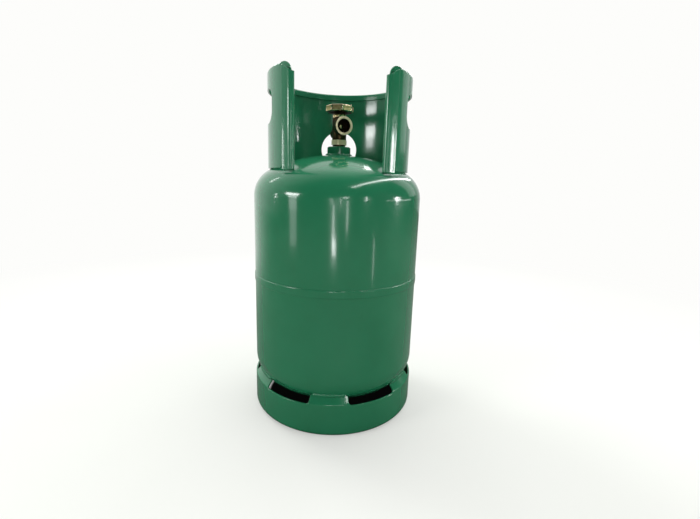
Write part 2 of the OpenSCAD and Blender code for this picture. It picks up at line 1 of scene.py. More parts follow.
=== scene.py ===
"""Dresses and lights a steel gas cylinder: glossy green enamel over welded
sheet steel, with a brass handwheel valve inside a rolled guard.

Sizes in the classes are millimetres; meshes are written in metres.
"""
from __future__ import annotations

import json
import logging
import math
from dataclasses import dataclass, field
from enum import Enum
from typing import Callable

import bmesh
import bpy
import numpy as np
from mathutils import Matrix, Vector
from mathutils.geometry import delaunay_2d_cdt

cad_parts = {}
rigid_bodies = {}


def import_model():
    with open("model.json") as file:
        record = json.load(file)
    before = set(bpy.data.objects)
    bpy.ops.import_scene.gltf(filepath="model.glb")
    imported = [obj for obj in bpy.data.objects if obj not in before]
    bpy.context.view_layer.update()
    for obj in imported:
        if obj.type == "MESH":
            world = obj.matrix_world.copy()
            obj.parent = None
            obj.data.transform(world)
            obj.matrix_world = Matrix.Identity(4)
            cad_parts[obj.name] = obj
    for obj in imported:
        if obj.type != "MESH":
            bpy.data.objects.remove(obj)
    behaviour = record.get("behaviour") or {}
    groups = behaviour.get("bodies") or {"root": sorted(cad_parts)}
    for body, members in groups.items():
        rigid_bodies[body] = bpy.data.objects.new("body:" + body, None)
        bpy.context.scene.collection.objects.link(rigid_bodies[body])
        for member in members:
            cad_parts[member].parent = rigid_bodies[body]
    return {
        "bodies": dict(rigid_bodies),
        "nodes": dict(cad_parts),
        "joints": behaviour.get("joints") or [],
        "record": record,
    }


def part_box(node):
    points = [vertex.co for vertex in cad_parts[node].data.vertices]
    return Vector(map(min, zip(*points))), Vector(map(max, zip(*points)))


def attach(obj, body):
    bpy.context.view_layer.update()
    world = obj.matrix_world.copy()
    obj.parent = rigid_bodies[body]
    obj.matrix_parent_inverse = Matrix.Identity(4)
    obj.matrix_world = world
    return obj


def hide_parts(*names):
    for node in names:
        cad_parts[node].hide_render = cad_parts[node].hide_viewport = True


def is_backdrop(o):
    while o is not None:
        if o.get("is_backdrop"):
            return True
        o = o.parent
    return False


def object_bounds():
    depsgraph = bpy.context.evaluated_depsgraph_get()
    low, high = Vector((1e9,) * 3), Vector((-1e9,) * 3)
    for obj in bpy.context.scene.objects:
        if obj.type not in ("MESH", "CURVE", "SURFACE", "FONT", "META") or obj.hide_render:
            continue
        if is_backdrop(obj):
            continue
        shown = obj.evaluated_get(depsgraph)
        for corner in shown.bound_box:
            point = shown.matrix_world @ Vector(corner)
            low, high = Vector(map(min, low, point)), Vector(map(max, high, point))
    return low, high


LOG = logging.getLogger("gas_cylinder")
MM = 0.001
TAU = 2.0 * math.pi
Array = np.ndarray
Shape = tuple[Array, list[Array]]


class Body(Enum):
    """The moving bodies that pieces ride on."""

    CYLINDER = "cylinder"
    WHEEL = "wheel"
    SEAT = "seat"
    RELIEF = "relief"


class Slot(Enum):
    """The record's material slots."""

    PAINT = "paint"
    BRASS = "brass"
    WHEEL = "wheel_brass"
    STEEL = "steel"
    NYLON = "nylon"
    RUBBER = "rubber"


# ---------------------------------------------------------------- materials


def linear(hex_colour: str) -> tuple[float, float, float, float]:
    """Turns an sRGB hex colour into linear RGBA.

    Args:
        hex_colour: Six hex digits after a hash, such as "#1f6345".

    Returns:
        The linear red, green, blue and an alpha of one.
    """
    parts = [int(hex_colour[i:i + 2], 16) / 255.0 for i in (1, 3, 5)]
    red, green, blue = (
        c / 12.92 if c <= 0.04045 else ((c + 0.055) / 1.055) ** 2.4 for c in parts
    )
    return red, green, blue, 1.0


def add_node(tree: bpy.types.NodeTree, kind: str, settings: dict | None = None,
             links: dict | None = None) -> bpy.types.Node:
    """Adds one shader node with its settings and its incoming links.

    Args:
        tree: Node tree to add to.
        kind: Blender's node type, such as "ShaderNodeTexNoise".
        settings: Socket values by input name or index; a key that starts
            with a dot is an attribute of the node.
        links: Output sockets by the input name or index that they feed.

    Returns:
        The new node.
    """
    node = tree.nodes.new(kind)
    for key, value in (settings or {}).items():
        if isinstance(key, str) and key.startswith("."):
            setattr(node, key[1:], value)
        else:
            node.inputs[key].default_value = value
    for key, socket in (links or {}).items():
        tree.links.new(socket, node.inputs[key])
    return node


def new_tree(name: str) -> tuple[bpy.types.Material, bpy.types.NodeTree]:
    """Makes an empty node material.

    Args:
        name: Name of the material.

    Returns:
        The material and its cleared node tree.
    """
    material = bpy.data.materials.new(name)
    material.use_nodes = True
    material.node_tree.nodes.clear()
    return material, material.node_tree


def colour_ramp(node: bpy.types.Node, stops: list[tuple[float, str]]) -> None:
    """Sets a colour ramp's stops.

    Args:
        node: A Color Ramp node.
        stops: Position and sRGB hex colour of each stop, in order.
    """
    elements = node.color_ramp.elements
    while len(elements) > len(stops):
        elements.remove(elements[-1])
    while len(elements) < len(stops):
        elements.new(1.0)
    for element, (position, colour) in zip(elements, stops):
        element.position = position
        element.color = linear(colour)


@dataclass(frozen=True)
class GlossEnamel:
    """Stoved polyester enamel sprayed on pressed steel.

    Gives the eye a deep even green under a clear gloss that mirrors lamps as
    soft streaks, with the faint orange peel of sprayed paint.
    """

    name: str = "gloss_green_enamel"
    deep: str = "#1f6d4a"
    body: str = "#20704d"
    light: str = "#22734f"
    roughness: float = 0.16
    coat_roughness: float = 0.05
    peel_mm: float = 3.0
    cloud_mm: float = 90.0
    peel_depth_mm: float = 0.06

    def build(self) -> bpy.types.Material:
        """Builds the enamel's node material.

        Returns:
            The material.
        """
        material, tree = new_tree(self.name)
        place = add_node(tree, "ShaderNodeTexCoord")
        cloud = add_node(
            tree, "ShaderNodeTexNoise",
            {"Scale": 1.0 / (self.cloud_mm * MM), "Detail": 3.0, "Roughness": 0.55},
            {"Vector": place.outputs["Object"]})
        ramp = add_node(tree, "ShaderNodeValToRGB", links={"Fac": cloud.outputs["Fac"]})
        colour_ramp(ramp, [(0.3, self.deep), (0.5, self.body), (0.72, self.light)])
        peel = add_node(
            tree, "ShaderNodeTexNoise",
            {"Scale": 1.0 / (self.peel_mm * MM), "Detail": 1.5, "Roughness": 0.4},
            {"Vector": place.outputs["Object"]})
        bump = add_node(
            tree, "ShaderNodeBump", {"Strength": 0.2, "Distance": self.peel_depth_mm * MM},
            {"Height": peel.outputs["Fac"]})
        gloss = add_node(
            tree, "ShaderNodeMapRange",
            {"From Min": 0.3, "From Max": 0.7, "To Min": self.roughness - 0.03,
             "To Max": self.roughness + 0.04},
            {"Value": cloud.outputs["Fac"]})
        shader = add_node(
            tree, "ShaderNodeBsdfPrincipled",
            {"IOR": 1.5, "Coat Weight": 0.35, "Coat Roughness": self.coat_roughness,
             "Coat IOR": 1.5},
            {"Base Color": ramp.outputs["Color"], "Roughness": gloss.outputs["Result"],
             "Normal": bump.outputs["Normal"]})
        add_node(tree, "ShaderNodeOutputMaterial",
                 links={"Surface": shader.outputs["BSDF"]})
        return material


@dataclass(frozen=True)
class GrainedMetal:
    """Bare metal with a fine grain left by how it was made.

    Forged brass is shot-blasted and dull; turned brass, zinc-plated steel and
    cast handwheel brass are smoother and brighter. The grain is a noise of
    grain_mm, or rings turned_mm apart where that is given.
    """

    name: str
    dark: str
    light: str
    roughness: float
    grain_mm: float
    depth_mm: float
    stain_mm: float = 9.0
    turned_mm: float = 0.0
    metallic: float = 1.0

    def build(self) -> bpy.types.Material:
        """Builds the metal's node material.

        Returns:
            The material.
        """
        material, tree = new_tree(self.name)
        place = add_node(tree, "ShaderNodeTexCoord")
        stain = add_node(
            tree, "ShaderNodeTexNoise",
            {"Scale": 1.0 / (self.stain_mm * MM), "Detail": 5.0, "Roughness": 0.6},
            {"Vector": place.outputs["Object"]})
        ramp = add_node(tree, "ShaderNodeValToRGB", links={"Fac": stain.outputs["Fac"]})
        colour_ramp(ramp, [(0.32, self.dark), (0.66, self.light)])
        if self.turned_mm:
            # At a scale of 1 the bands lie about a third of a unit apart
            height = add_node(
                tree, "ShaderNodeTexWave",
                {"Scale": 1.0 / (self.turned_mm * MM * 3.0), "Distortion": 1.5,
                 "Detail": 2.0, ".wave_type": "BANDS", ".bands_direction": "Z"},
                {"Vector": place.outputs["Object"]})
        else:
            height = add_node(
                tree, "ShaderNodeTexNoise",
                {"Scale": 1.0 / (self.grain_mm * MM), "Detail": 3.0, "Roughness": 0.6},
                {"Vector": place.outputs["Object"]})
        bump = add_node(
            tree, "ShaderNodeBump", {"Strength": 0.5, "Distance": self.depth_mm * MM},
            {"Height": height.outputs["Fac"]})
        rough = add_node(
            tree, "ShaderNodeMapRange",
            {"From Min": 0.3, "From Max": 0.7, "To Min": self.roughness - 0.06,
             "To Max": self.roughness + 0.08},
            {"Value": stain.outputs["Fac"]})
        shader = add_node(
            tree, "ShaderNodeBsdfPrincipled", {"Metallic": self.metallic},
            {"Base Color": ramp.outputs["Color"], "Roughness": rough.outputs["Result"],
             "Normal": bump.outputs["Normal"]})
        add_node(tree, "ShaderNodeOutputMaterial",
                 links={"Surface": shader.outputs["BSDF"]})
        return material


@dataclass(frozen=True)
class MouldedPolymer:
    """Moulded nylon or rubber: a soft sheen with a faint mottle."""

    name: str
    dark: str
    light: str
    roughness: float
    ior: float
    mottle_mm: float = 2.5

    def build(self) -> bpy.types.Material:
        """Builds the polymer's node material.

        Returns:
            The material.
        """
        material, tree = new_tree(self.name)
        place = add_node(tree, "ShaderNodeTexCoord")
        mottle = add_node(
            tree, "ShaderNodeTexNoise",
            {"Scale": 1.0 / (self.mottle_mm * MM), "Detail": 3.0},
            {"Vector": place.outputs["Object"]})
        ramp = add_node(tree, "ShaderNodeValToRGB", links={"Fac": mottle.outputs["Fac"]})
        colour_ramp(ramp, [(0.35, self.dark), (0.65, self.light)])
        bump = add_node(
            tree, "ShaderNodeBump", {"Strength": 0.3, "Distance": 0.02 * MM},
            {"Height": mottle.outputs["Fac"]})
        shader = add_node(
            tree, "ShaderNodeBsdfPrincipled",
            {"IOR": self.ior, "Roughness": self.roughness},
            {"Base Color": ramp.outputs["Color"], "Normal": bump.outputs["Normal"]})
        add_node(tree, "ShaderNodeOutputMaterial",
                 links={"Surface": shader.outputs["BSDF"]})
        return material


@dataclass
class Finishes:
    """All finishes of the cylinder, built once."""

    enamel: bpy.types.Material = field(init=False)
    forged: bpy.types.Material = field(init=False)
    # Near-black brass that paints shade into the outlet's bore and under the handwheel
    bore: bpy.types.Material = field(init=False)
    turned: bpy.types.Material = field(init=False)
    satin: bpy.types.Material = field(init=False)
    wheel: bpy.types.Material = field(init=False)
    rubbed: bpy.types.Material = field(init=False)
    zinc: bpy.types.Material = field(init=False)
    nylon: bpy.types.Material = field(init=False)
    rubber: bpy.types.Material = field(init=False)

    def __post_init__(self) -> None:
        """Builds the node materials."""
        self.enamel = GlossEnamel().build()
        # Hot-forged and shot-blasted brass: dull, with a fine sandy grain.
        self.forged = GrainedMetal(
            "forged_brass", "#2f2618", "#51452d", 0.38, 0.5, 0.05).build()
        # Painted shade: nearly black brass with a dull glint, for the outlet's bore and the
        # handwheel's underside.
        self.bore = GrainedMetal(
            "painted_shade_brass", "#15110b", "#2a2217", 0.45, 0.6, 0.03).build()
        # Turned brass: bright and pale, with fine cutting rings.
        self.turned = GrainedMetal(
            "turned_brass", "#bda878", "#dccb9c", 0.24, 0.4, 0.02, turned_mm=0.5).build()
        # Satin-machined faces: pale cream, their fine marks scatter half of the light.
        self.satin = GrainedMetal(
            "satin_machined_brass", "#e2cfa3", "#f3e4c4", 0.34, 0.4, 0.02, turned_mm=0.5,
            metallic=0.4).build()
        # Die-cast handwheel brass, tumbled smooth: khaki with a soft sheen.
        self.wheel = GrainedMetal(
            "cast_wheel_brass", "#a39660", "#c9bc8a", 0.32, 0.7, 0.03, metallic=0.85).build()
        # The wheel's edges, rubbed bright by hands: pale and smooth.
        self.rubbed = GrainedMetal(
            "rubbed_wheel_brass", "#cdbf94", "#e6dcba", 0.16, 0.9, 0.01).build()
        # Zinc-plated steel: cool grey with a fine crystal haze.
        self.zinc = GrainedMetal(
            "zinc_plated_steel", "#8d9092", "#b9bcbd", 0.32, 0.6, 0.02).build()
        # Moulded nylon: off-white, slightly waxy.
        self.nylon = MouldedPolymer("moulded_nylon", "#cfc9b8", "#ddd8ca", 0.45, 1.53).build()
        # Nitrile rubber: near black with a dull skin.
        self.rubber = MouldedPolymer("nitrile_rubber", "#161616", "#222221", 0.6, 1.52).build()


# ------------------------------------------------------------------- meshes


def signed_volume(points: Array, faces: Array) -> float:
    """Measures the volume inside a closed mesh, as a sum of tetrahedra.

    Each face is fanned from its first corner, and each triangle adds a sixth
    of the triple product of its corners.

    Args:
        points: Vertices, one row each.
        faces: Triangles or quads, one row of indices each.

    Returns:
        The volume, negative where the faces point inwards.
    """
    a, b, c = points[faces[:, 0]], points[faces[:, 1]], points[faces[:, 2]]
    total = np.einsum("ij,ij->i", a, np.cross(b, c)).sum()
    if faces.shape[1] == 4:
        d = points[faces[:, 3]]
        total += np.einsum("ij,ij->i", a, np.cross(c, d)).sum()
    return float(total) / 6.0


def weld_points(points: Array, faces: list[Array], step: float = 1e-4) -> Shape:
    """Joins vertices that share a place and drops faces that collapse.

    Places are rounded to the given step in millimetres and numbered once
    each; quads that lose one corner become triangles.

    Args:
        points: Vertices in millimetres.
        faces: Arrays of triangles and quads.
        step: Size of the rounding.

    Returns:
        The joined vertices, and the arrays of faces that are left.
    """
    keys = np.round(points / step).astype(np.int64)
    _, first, back = np.unique(keys, axis=0, return_index=True, return_inverse=True)
    back = back.reshape(-1)
    tris, quads = [], []
    for block in faces:
        block = back[block]
        if block.shape[1] == 3:
            tris.append(block[(block != np.roll(block, -1, axis=1)).all(axis=1)])
            continue
        same = np.stack([block[:, i] == block[:, (i + 1) % 4] for i in range(4)], axis=1)
        count = same.sum(axis=1)
        quads.append(block[count == 0])
        for i in range(4):
            row = block[(count == 1) & same[:, i]]
            tris.append(np.delete(row, (i + 1) % 4, axis=1))
    out = []
    if quads:
        out.append(np.concatenate(quads))
    if tris:
        out.append(np.concatenate(tris))
    return points[first], [block for block in out if len(block)]


def mesh_piece(name: str, points: Array, faces: list[Array],
               material: bpy.types.Material, sharp_deg: float = 35.0) -> bpy.types.Object:
    """Makes a smooth object from vertices in millimetres.

    Args:
        name: Name of the piece.
        points: Vertices in millimetres.
        faces: Arrays of triangles or quads, counter-clockwise from outside.
        material: Finish of the piece.
        sharp_deg: Edges that turn by more than this stay sharp.

    Returns:
        The new object, at the origin.
    """
    points, faces = weld_points(points, faces)
    if sum(signed_volume(points, block) for block in faces) < 0.0:
        faces = [block[:, ::-1] for block in faces]
    sizes = np.concatenate([np.full(len(block), block.shape[1]) for block in faces])
    corners = np.concatenate([block.reshape(-1) for block in faces])
    mesh = bpy.data.meshes.new(name)
    mesh.vertices.add(len(points))
    mesh.vertices.foreach_set("co", (points * MM).astype(np.float32).ravel())
    mesh.loops.add(len(corners))
    mesh.loops.foreach_set("vertex_index", corners.astype(np.int32))
    mesh.polygons.add(len(sizes))
    starts = np.concatenate([[0], np.cumsum(sizes)[:-1]])
    mesh.polygons.foreach_set("loop_start", starts.astype(np.int32))
    mesh.polygons.foreach_set("loop_total", sizes.astype(np.int32))
    mesh.update(calc_edges=True)
    mesh.validate()
    mesh.polygons.foreach_set("use_smooth", np.ones(len(mesh.polygons), dtype=bool))
    mesh.set_sharp_from_angle(angle=math.radians(sharp_deg))
    mesh.materials.append(material)
    piece = bpy.data.objects.new(name, mesh)
    bpy.context.scene.collection.objects.link(piece)
    return piece


def grid_faces(rows: int, columns: int, close_rows: bool, close_columns: bool) -> Array:
    """Numbers the quads of a grid of points stored row after row.

    Args:
        rows: Number of rows.
        columns: Number of columns.
        close_rows: Joins the last row to the first.
        close_columns: Joins the last column to the first.

    Returns:
        One row of four indices for each quad.
    """
    i = np.arange(rows if close_rows else rows - 1)[:, None]
    j = np.arange(columns if close_columns else columns - 1)[None, :]
    i2, j2 = (i + 1) % rows, (j + 1) % columns
    quads = np.stack([i * columns + j, i * columns + j2, i2 * columns + j2, i2 * columns + j],
                     axis=-1)
    return quads.reshape(-1, 4)


def round_axis(radius: Array, angle: Array, height: Array) -> Array:
    """Places points about the Z axis: (r sin a, -r cos a, z).

    Args:
        radius: Distances from the axis.
        angle: Angles in radians, counted from -Y towards +X.
        height: Heights.

    Returns:
        The points, with x, y and z along the last axis.
    """
    return np.stack([radius * np.sin(angle), -radius * np.cos(angle), height], axis=-1)


def lathe(profile: Array, segments: int, closed: bool,
          swell: Callable[[Array, Array], Array] | None = None) -> Shape:
    """Turns a profile about the Z axis.

    The point at angle a and profile step k is
    (r_k sin a, -r_k cos a, z_k), where the swell is added to r_k.

    Args:
        profile: Radius and height of each step.
        segments: Steps round the axis.
        closed: Joins the profile's last step to its first.
        swell: Gives the change in radius from the angles and the steps.

    Returns:
        Vertices in millimetres and their faces.
    """
    angle = np.arange(segments)[None, :] * TAU / segments
    radius = np.repeat(profile[:, :1], segments, axis=1)
    if swell is not None:
        radius = radius + swell(angle, np.arange(len(profile))[:, None])
    height = np.repeat(profile[:, 1:2], segments, axis=1)
    points = round_axis(radius, angle, height)
    return points.reshape(-1, 3), [grid_faces(len(profile), segments, closed, True)]


def dense(profile: list[tuple[float, float]] | Array, step: float) -> Array:
    """Adds points along a profile so that no step is longer than asked.

    Args:
        profile: Corners of the profile.
        step: Longest step.

    Returns:
        The profile with its added points.
    """
    corners = np.asarray(profile, dtype=float)
    parts = []
    for a, b in zip(corners[:-1], corners[1:]):
        count = max(1, int(math.ceil(np.linalg.norm(b - a) / step)))
        parts.append(a + (b - a) * (np.arange(count) / count)[:, None])
    parts.append(corners[-1:])
    return np.concatenate(parts)


def dense_loop(loop: Array, step: float) -> Array:
    """Adds points along a closed outline so that no step is longer than asked.

    Args:
        loop: The outline, without its first point again at the end.
        step: Longest step.

    Returns:
        The outline with its added points.
    """
    return dense(np.concatenate([loop, loop[:1]]), step)[:-1]


def soften(corners: list[tuple[float, float]], radii: float | list[float],
           closed: bool = True, steps: int = 6) -> Array:
    """Rounds the corners of a flat outline.

    Each corner is replaced by the arc that touches both of its sides. The
    arc's ends lie radius / tan(half the corner's angle) from the corner, and
    no further than about half of the shorter side.

    Args:
        corners: The outline's corners.
        radii: One radius, or one for each corner.
        closed: Whether the last corner joins the first.
        steps: Steps along each arc.

    Returns:
        The rounded outline.
    """
    nearly_straight = math.pi / 2 - 0.02
    share_of_side = 0.49
    pts = np.asarray(corners, dtype=float)
    size = len(pts)
    wanted = np.full(size, radii) if np.isscalar(radii) else np.asarray(radii, dtype=float)
    parts = []
    for i in range(size):
        here, radius = pts[i], wanted[i]
        if radius <= 0.0 or (not closed and i in (0, size - 1)):
            parts.append(here[None])
            continue
        back, ahead = pts[i - 1] - here, pts[(i + 1) % size] - here
        long_back, long_ahead = np.linalg.norm(back), np.linalg.norm(ahead)
        back, ahead = back / long_back, ahead / long_ahead
        half = 0.5 * math.acos(float(np.clip(back @ ahead, -1.0, 1.0)))
        if half > nearly_straight:
            parts.append(here[None])
            continue
        reach = min(radius / math.tan(half), share_of_side * long_back,
                    share_of_side * long_ahead)
        radius = reach * math.tan(half)
        middle = here + (back + ahead) / np.linalg.norm(back + ahead) * radius / math.sin(half)
        start, end = here + back * reach - middle, here + ahead * reach - middle
        turn = math.atan2(start[0] * end[1] - start[1] * end[0], start @ end)
        angle = turn * np.linspace(0.0, 1.0, steps + 1)
        cos, sin = np.cos(angle), np.sin(angle)
        parts.append(middle + np.stack(
            [cos * start[0] - sin * start[1], sin * start[0] + cos * start[1]], axis=1))
    return np.concatenate(parts)


def inside_loops(points: Array, loops: list[Array]) -> Array:
    """Tells which points lie inside an outline and outside its holes.

    Counts how many sides a ray towards +x crosses; an odd count is inside.

    Args:
        points: Points to test.
        loops: The outline and the holes.

    Returns:
        One boolean for each point.
    """
    odd = np.zeros(len(points), dtype=bool)
    x, y = points[:, :1], points[:, 1:2]
    for loop in loops:
        a, b = loop, np.roll(loop, -1, axis=0)
        rise = np.where(b[:, 1] == a[:, 1], 1e-12, b[:, 1] - a[:, 1])
        crosses = (a[None, :, 1] > y) != (b[None, :, 1] > y)
        at = a[None, :, 0] + (y - a[None, :, 1]) * ((b[:, 0] - a[:, 0]) / rise)[None, :]
        odd ^= (crosses & (x < at)).sum(axis=1) % 2 == 1
    return odd


@dataclass
class PressedSheet:
    """A plate that is cut out flat and then bent, with rounded cut edges.

    The flat plate has coordinates (u, v) in millimetres. A placing function
    carries (u, v, n) to space, where n is the distance from the plate's
    middle surface. Both faces share one triangulation. Each cut edge is a
    quarter-round at both faces: at angle f the edge lies e - e sin f inside
    the outline, at n = t/2 - e + e cos f.
    """

    thickness: float
    edge: float = 0.7
    edge_steps: int = 3

    def inset_normals(self, loop: Array, seam: Array) -> tuple[Array, Array]:
        """Finds each outline point's direction into the plate.

        Args:
            loop: The outline, with the plate on its left.
            seam: Marks sides that are not cut edges.

        Returns:
            The unit directions, and how far to go along each for one unit of inset.
        """
        side = np.roll(loop, -1, axis=0) - loop
        side /= np.linalg.norm(side, axis=1)[:, None]
        left = np.stack([-side[:, 1], side[:, 0]], axis=1)
        left[seam] = 0.0
        total = left + np.roll(left, 1, axis=0)
        length = np.linalg.norm(total, axis=1)
        plain = length < 1e-9
        total[~plain] /= length[~plain, None]
        weight = np.maximum(np.einsum("ij,ij->i", total, left),
                            np.einsum("ij,ij->i", total, np.roll(left, 1, axis=0)))
        stretch = np.where(plain, 0.0, 1.0 / np.maximum(weight, 0.5))
        return total, stretch

    def triangulate(self, insets: list[Array], lines_u: Array,
                    lines_v: Array) -> tuple[Array, Array]:
        """Fills the flat outline with triangles that follow a grid.

        Grid points closer to the outline than 0.45 of a grid step are left
        out, or than 0.9 mm where the steps are long.

        Args:
            insets: The outline and the holes.
            lines_u: Grid lines across the plate.
            lines_v: Grid lines along the plate.

        Returns:
            The flat points, and the triangles between them.
        """
        sides, start = [], 0
        for inset in insets:
            index = np.arange(len(inset))
            sides.append(start + np.stack([index, (index + 1) % len(inset)], axis=1))
            start += len(inset)
        border = np.concatenate(insets)
        grid = np.stack(np.meshgrid(lines_u, lines_v, indexing="ij"), axis=-1).reshape(-1, 2)
        room = np.minimum.outer(np.gradient(lines_u), np.gradient(lines_v)).reshape(-1)
        keep = inside_loops(grid, insets)
        grid, room = grid[keep], room[keep]
        near = np.full(len(grid), np.inf)
        for block in np.array_split(border, max(1, len(border) // 400)):
            gap = np.hypot(grid[:, :1] - block[:, 0], grid[:, 1:2] - block[:, 1])
            near = np.minimum(near, gap.min(axis=1))
        flat = np.concatenate([border, grid[near > np.minimum(0.45 * room, 0.9)]])
        verts, _, tris, _, _, _ = delaunay_2d_cdt(
            [Vector(p) for p in flat.tolist()], np.concatenate(sides).tolist(), [], 0, 1e-7)
        flat = np.array([tuple(v) for v in verts])
        tris = np.array(tris)
        return flat, tris[inside_loops(flat[tris].mean(axis=1), insets)]

    def build(self, loops: list[Array], lines_u: Array, lines_v: Array,
              place: Callable[[Array, Array, Array], Array],
              seam_u: tuple[float, ...] = ()) -> Shape:
        """Builds the bent plate.

        Args:
            loops: The outline counter-clockwise, then the holes clockwise.
            lines_u: Grid lines across the plate.
            lines_v: Grid lines along the plate.
            place: Carries arrays u, v and n to points in space.
            seam_u: Places of the sides that meet when the plate is rolled up.

        Returns:
            Vertices in millimetres and their faces.
        """
        bands, insets = [], []
        for loop in loops:
            seam, ahead = np.zeros(len(loop), dtype=bool), np.roll(loop, -1, axis=0)
            for side in seam_u:
                seam |= (np.abs(loop[:, 0] - side) < 1e-6) & (np.abs(ahead[:, 0] - side) < 1e-6)
            normal, stretch = self.inset_normals(loop, seam)
            insets.append(loop + normal * (stretch * self.edge)[:, None])
            bands.append((loop, normal, stretch, seam))
        flat, tris = self.triangulate(insets, lines_u, lines_v)
        count, half = len(flat), self.thickness / 2.0
        u, v = flat[:, 0], flat[:, 1]
        points = [place(u, v, np.full(count, half)), place(u, v, np.full(count, -half))]
        faces: list[Array] = [tris, tris[:, ::-1] + count]
        base = 2 * count
        turn = np.linspace(0.0, math.pi / 2, self.edge_steps + 1)
        depth = self.edge * (1 - np.sin(turn))
        depth = np.concatenate([depth, depth[::-1]])
        level = half - self.edge + self.edge * np.cos(turn)
        level = np.concatenate([level, -level[::-1]])
        for loop, normal, stretch, seam in bands:
            size, rings = len(loop), len(depth)
            moved = loop[None] + normal[None] * (stretch[None, :] * depth[:, None])[..., None]
            levels = np.repeat(level[:, None], size, axis=1)
            points.append(place(moved[..., 0].ravel(), moved[..., 1].ravel(), levels.ravel()))
            quads = grid_faces(rings, size, False, True).reshape(rings - 1, size, 4)
            faces.append(quads[:, ~seam].reshape(-1, 4) + base)
            base += rings * size
        return np.concatenate(points), faces


def weld_bead(from_deg: float, to_deg: float, centre: tuple[float, float], radius: float,
              ripple: float = 2.4, around: int = 20) -> Shape:
    """Lays a rounded weld bead along an arc about the Z axis.

    Its cross-section is a circle about (r, z). Along the arc the radius is
    the full radius times (1 + 0.05 cos(2 pi s / ripple + cos f)), where s is
    the way along and f the angle round the bead. Both ends close as
    half-ellipsoids 1.3 radii long. A whole turn has no ends and joins itself.

    Args:
        from_deg: Where the bead starts, counted from -Y towards +X.
        to_deg: Where it ends.
        centre: Radius and height of the bead's middle.
        radius: Radius of the cross-section.
        ripple: Distance between ripples.
        around: Steps round the cross-section.

    Returns:
        Vertices in millimetres and their faces.
    """
    whole = to_deg - from_deg >= 360.0
    length = math.radians(to_deg - from_deg) * centre[0]
    steps_per_ripple = 7.0
    count = int(length / (ripple / steps_per_ripple))
    if whole:
        waves = round(length / ripple)
        way = np.arange(count)[:, None] / count
        taper = np.ones_like(way)
        phase = TAU * waves * way
    else:
        # The steps lie closer together towards the ends
        way = 0.5 - 0.5 * np.cos(np.linspace(0.0, math.pi, count))[:, None]
        way = 0.35 * way + 0.65 * np.linspace(0.0, 1.0, count)[:, None]
        cap = 1.3 * radius
        end = np.minimum(way, 1.0 - way) * length / cap
        taper = np.sqrt(np.clip(1.0 - (1.0 - np.minimum(end, 1.0)) ** 2, 0.0, 1.0))
        phase = TAU * way * length / ripple
    angle = np.radians(from_deg + (to_deg - from_deg) * way)
    turn = np.arange(around)[None, :] * TAU / around
    size = radius * taper * (1.0 + 0.05 * np.cos(phase + np.cos(turn)))
    points = round_axis(centre[0] + size * np.cos(turn), angle, centre[1] + size * np.sin(turn))
    return points.reshape(-1, 3), [grid_faces(count, around, whole, True)]


def polygon_radius(angle: Array, sides: int, apothem: float, corner: float) -> Array:
    """Gives the radius of a rounded regular polygon in a direction.

    Within each side the radius is apothem / cos(a); past the flat it reaches
    the corner's circle, whose centre lies at (apothem - corner) / cos(pi / n).

    Args:
        angle: Directions, with a corner at zero.
        sides: Number of sides, or zero for a circle.
        apothem: Distance from the centre to a side.
        corner: Radius of the rounded corners.

    Returns:
        The radius in each direction.
    """
    if sides == 0:
        return np.full_like(angle, apothem)
    sector = TAU / sides
    # The angle from the middle of the nearest side
    local = np.abs(angle % sector - sector / 2)
    flat_end = (apothem - corner) * math.tan(sector / 2)
    flat = apothem / np.cos(local)
    cx, cy = apothem - corner, flat_end
    along = cx * np.cos(local) + cy * np.sin(local)
    arc = along + np.sqrt(np.maximum(along ** 2 - cx * cx - cy * cy + corner * corner, 0.0))
    return np.where(apothem * np.tan(local) <= flat_end, flat, arc)


@dataclass(frozen=True)
class Ring:
    """One ring of a turned or milled shape: its height and outline.

    With no sides it is a circle. The limit is the largest radius that its
    corners reach, and turn_deg turns its first corner past the shape's own.
    """

    z: float
    apothem: float
    sides: int = 0
    corner: float = 0.5
    limit: float = 1e9
    turn_deg: float = 0.0


def ringed(rings: list[Ring], turn_deg: float, segments: int) -> Shape:
    """Joins rings of different outlines into a closed shape.

    The point of ring k at angle a has the radius of that ring's outline in
    the direction a, no more than the ring's limit.

    Args:
        rings: The rings, in order round a closed section.
        turn_deg: Turn of the first corner, counted from -Y towards +X.
        segments: Steps round the axis.

    Returns:
        Vertices in millimetres and their faces.
    """
    angle = np.arange(segments) * TAU / segments
    turned = angle + math.radians(turn_deg)
    rows = []
    for ring in rings:
        start = math.radians(ring.turn_deg)
        radius = polygon_radius(angle - start, ring.sides, ring.apothem, ring.corner)
        radius = np.minimum(radius, ring.limit)
        rows.append(round_axis(radius, turned, np.full(segments, ring.z)))
    return np.concatenate(rows), [grid_faces(len(rings), segments, True, True)]


def joined(parts: list[Shape]) -> Shape:
    """Puts several meshes into one.

    Args:
        parts: Vertices and faces of each, all in millimetres.

    Returns:
        The vertices and faces together.
    """
    points, faces, base = [], [], 0
    for part_points, part_faces in parts:
        points.append(part_points)
        faces += [block + base for block in part_faces]
        base += len(part_points)
    return np.concatenate(points), faces


def face_values(mesh: bpy.types.Mesh, name: str) -> Array:
    """Reads a vector of each face.

    Args:
        mesh: Mesh to read.
        name: "center" or "normal".

    Returns:
        One row of x, y and z for each face.
    """
    flat = np.empty(len(mesh.polygons) * 3, dtype=np.float32)
    mesh.polygons.foreach_get(name, flat)
    return flat.reshape(-1, 3)


def set_finishes(mesh: bpy.types.Mesh, slots: Array) -> None:
    """Says which of a mesh's finishes each face has.

    Args:
        mesh: Mesh to change.
        slots: Number of the finish of each face.
    """
    mesh.polygons.foreach_set("material_index", slots.astype(np.int32))


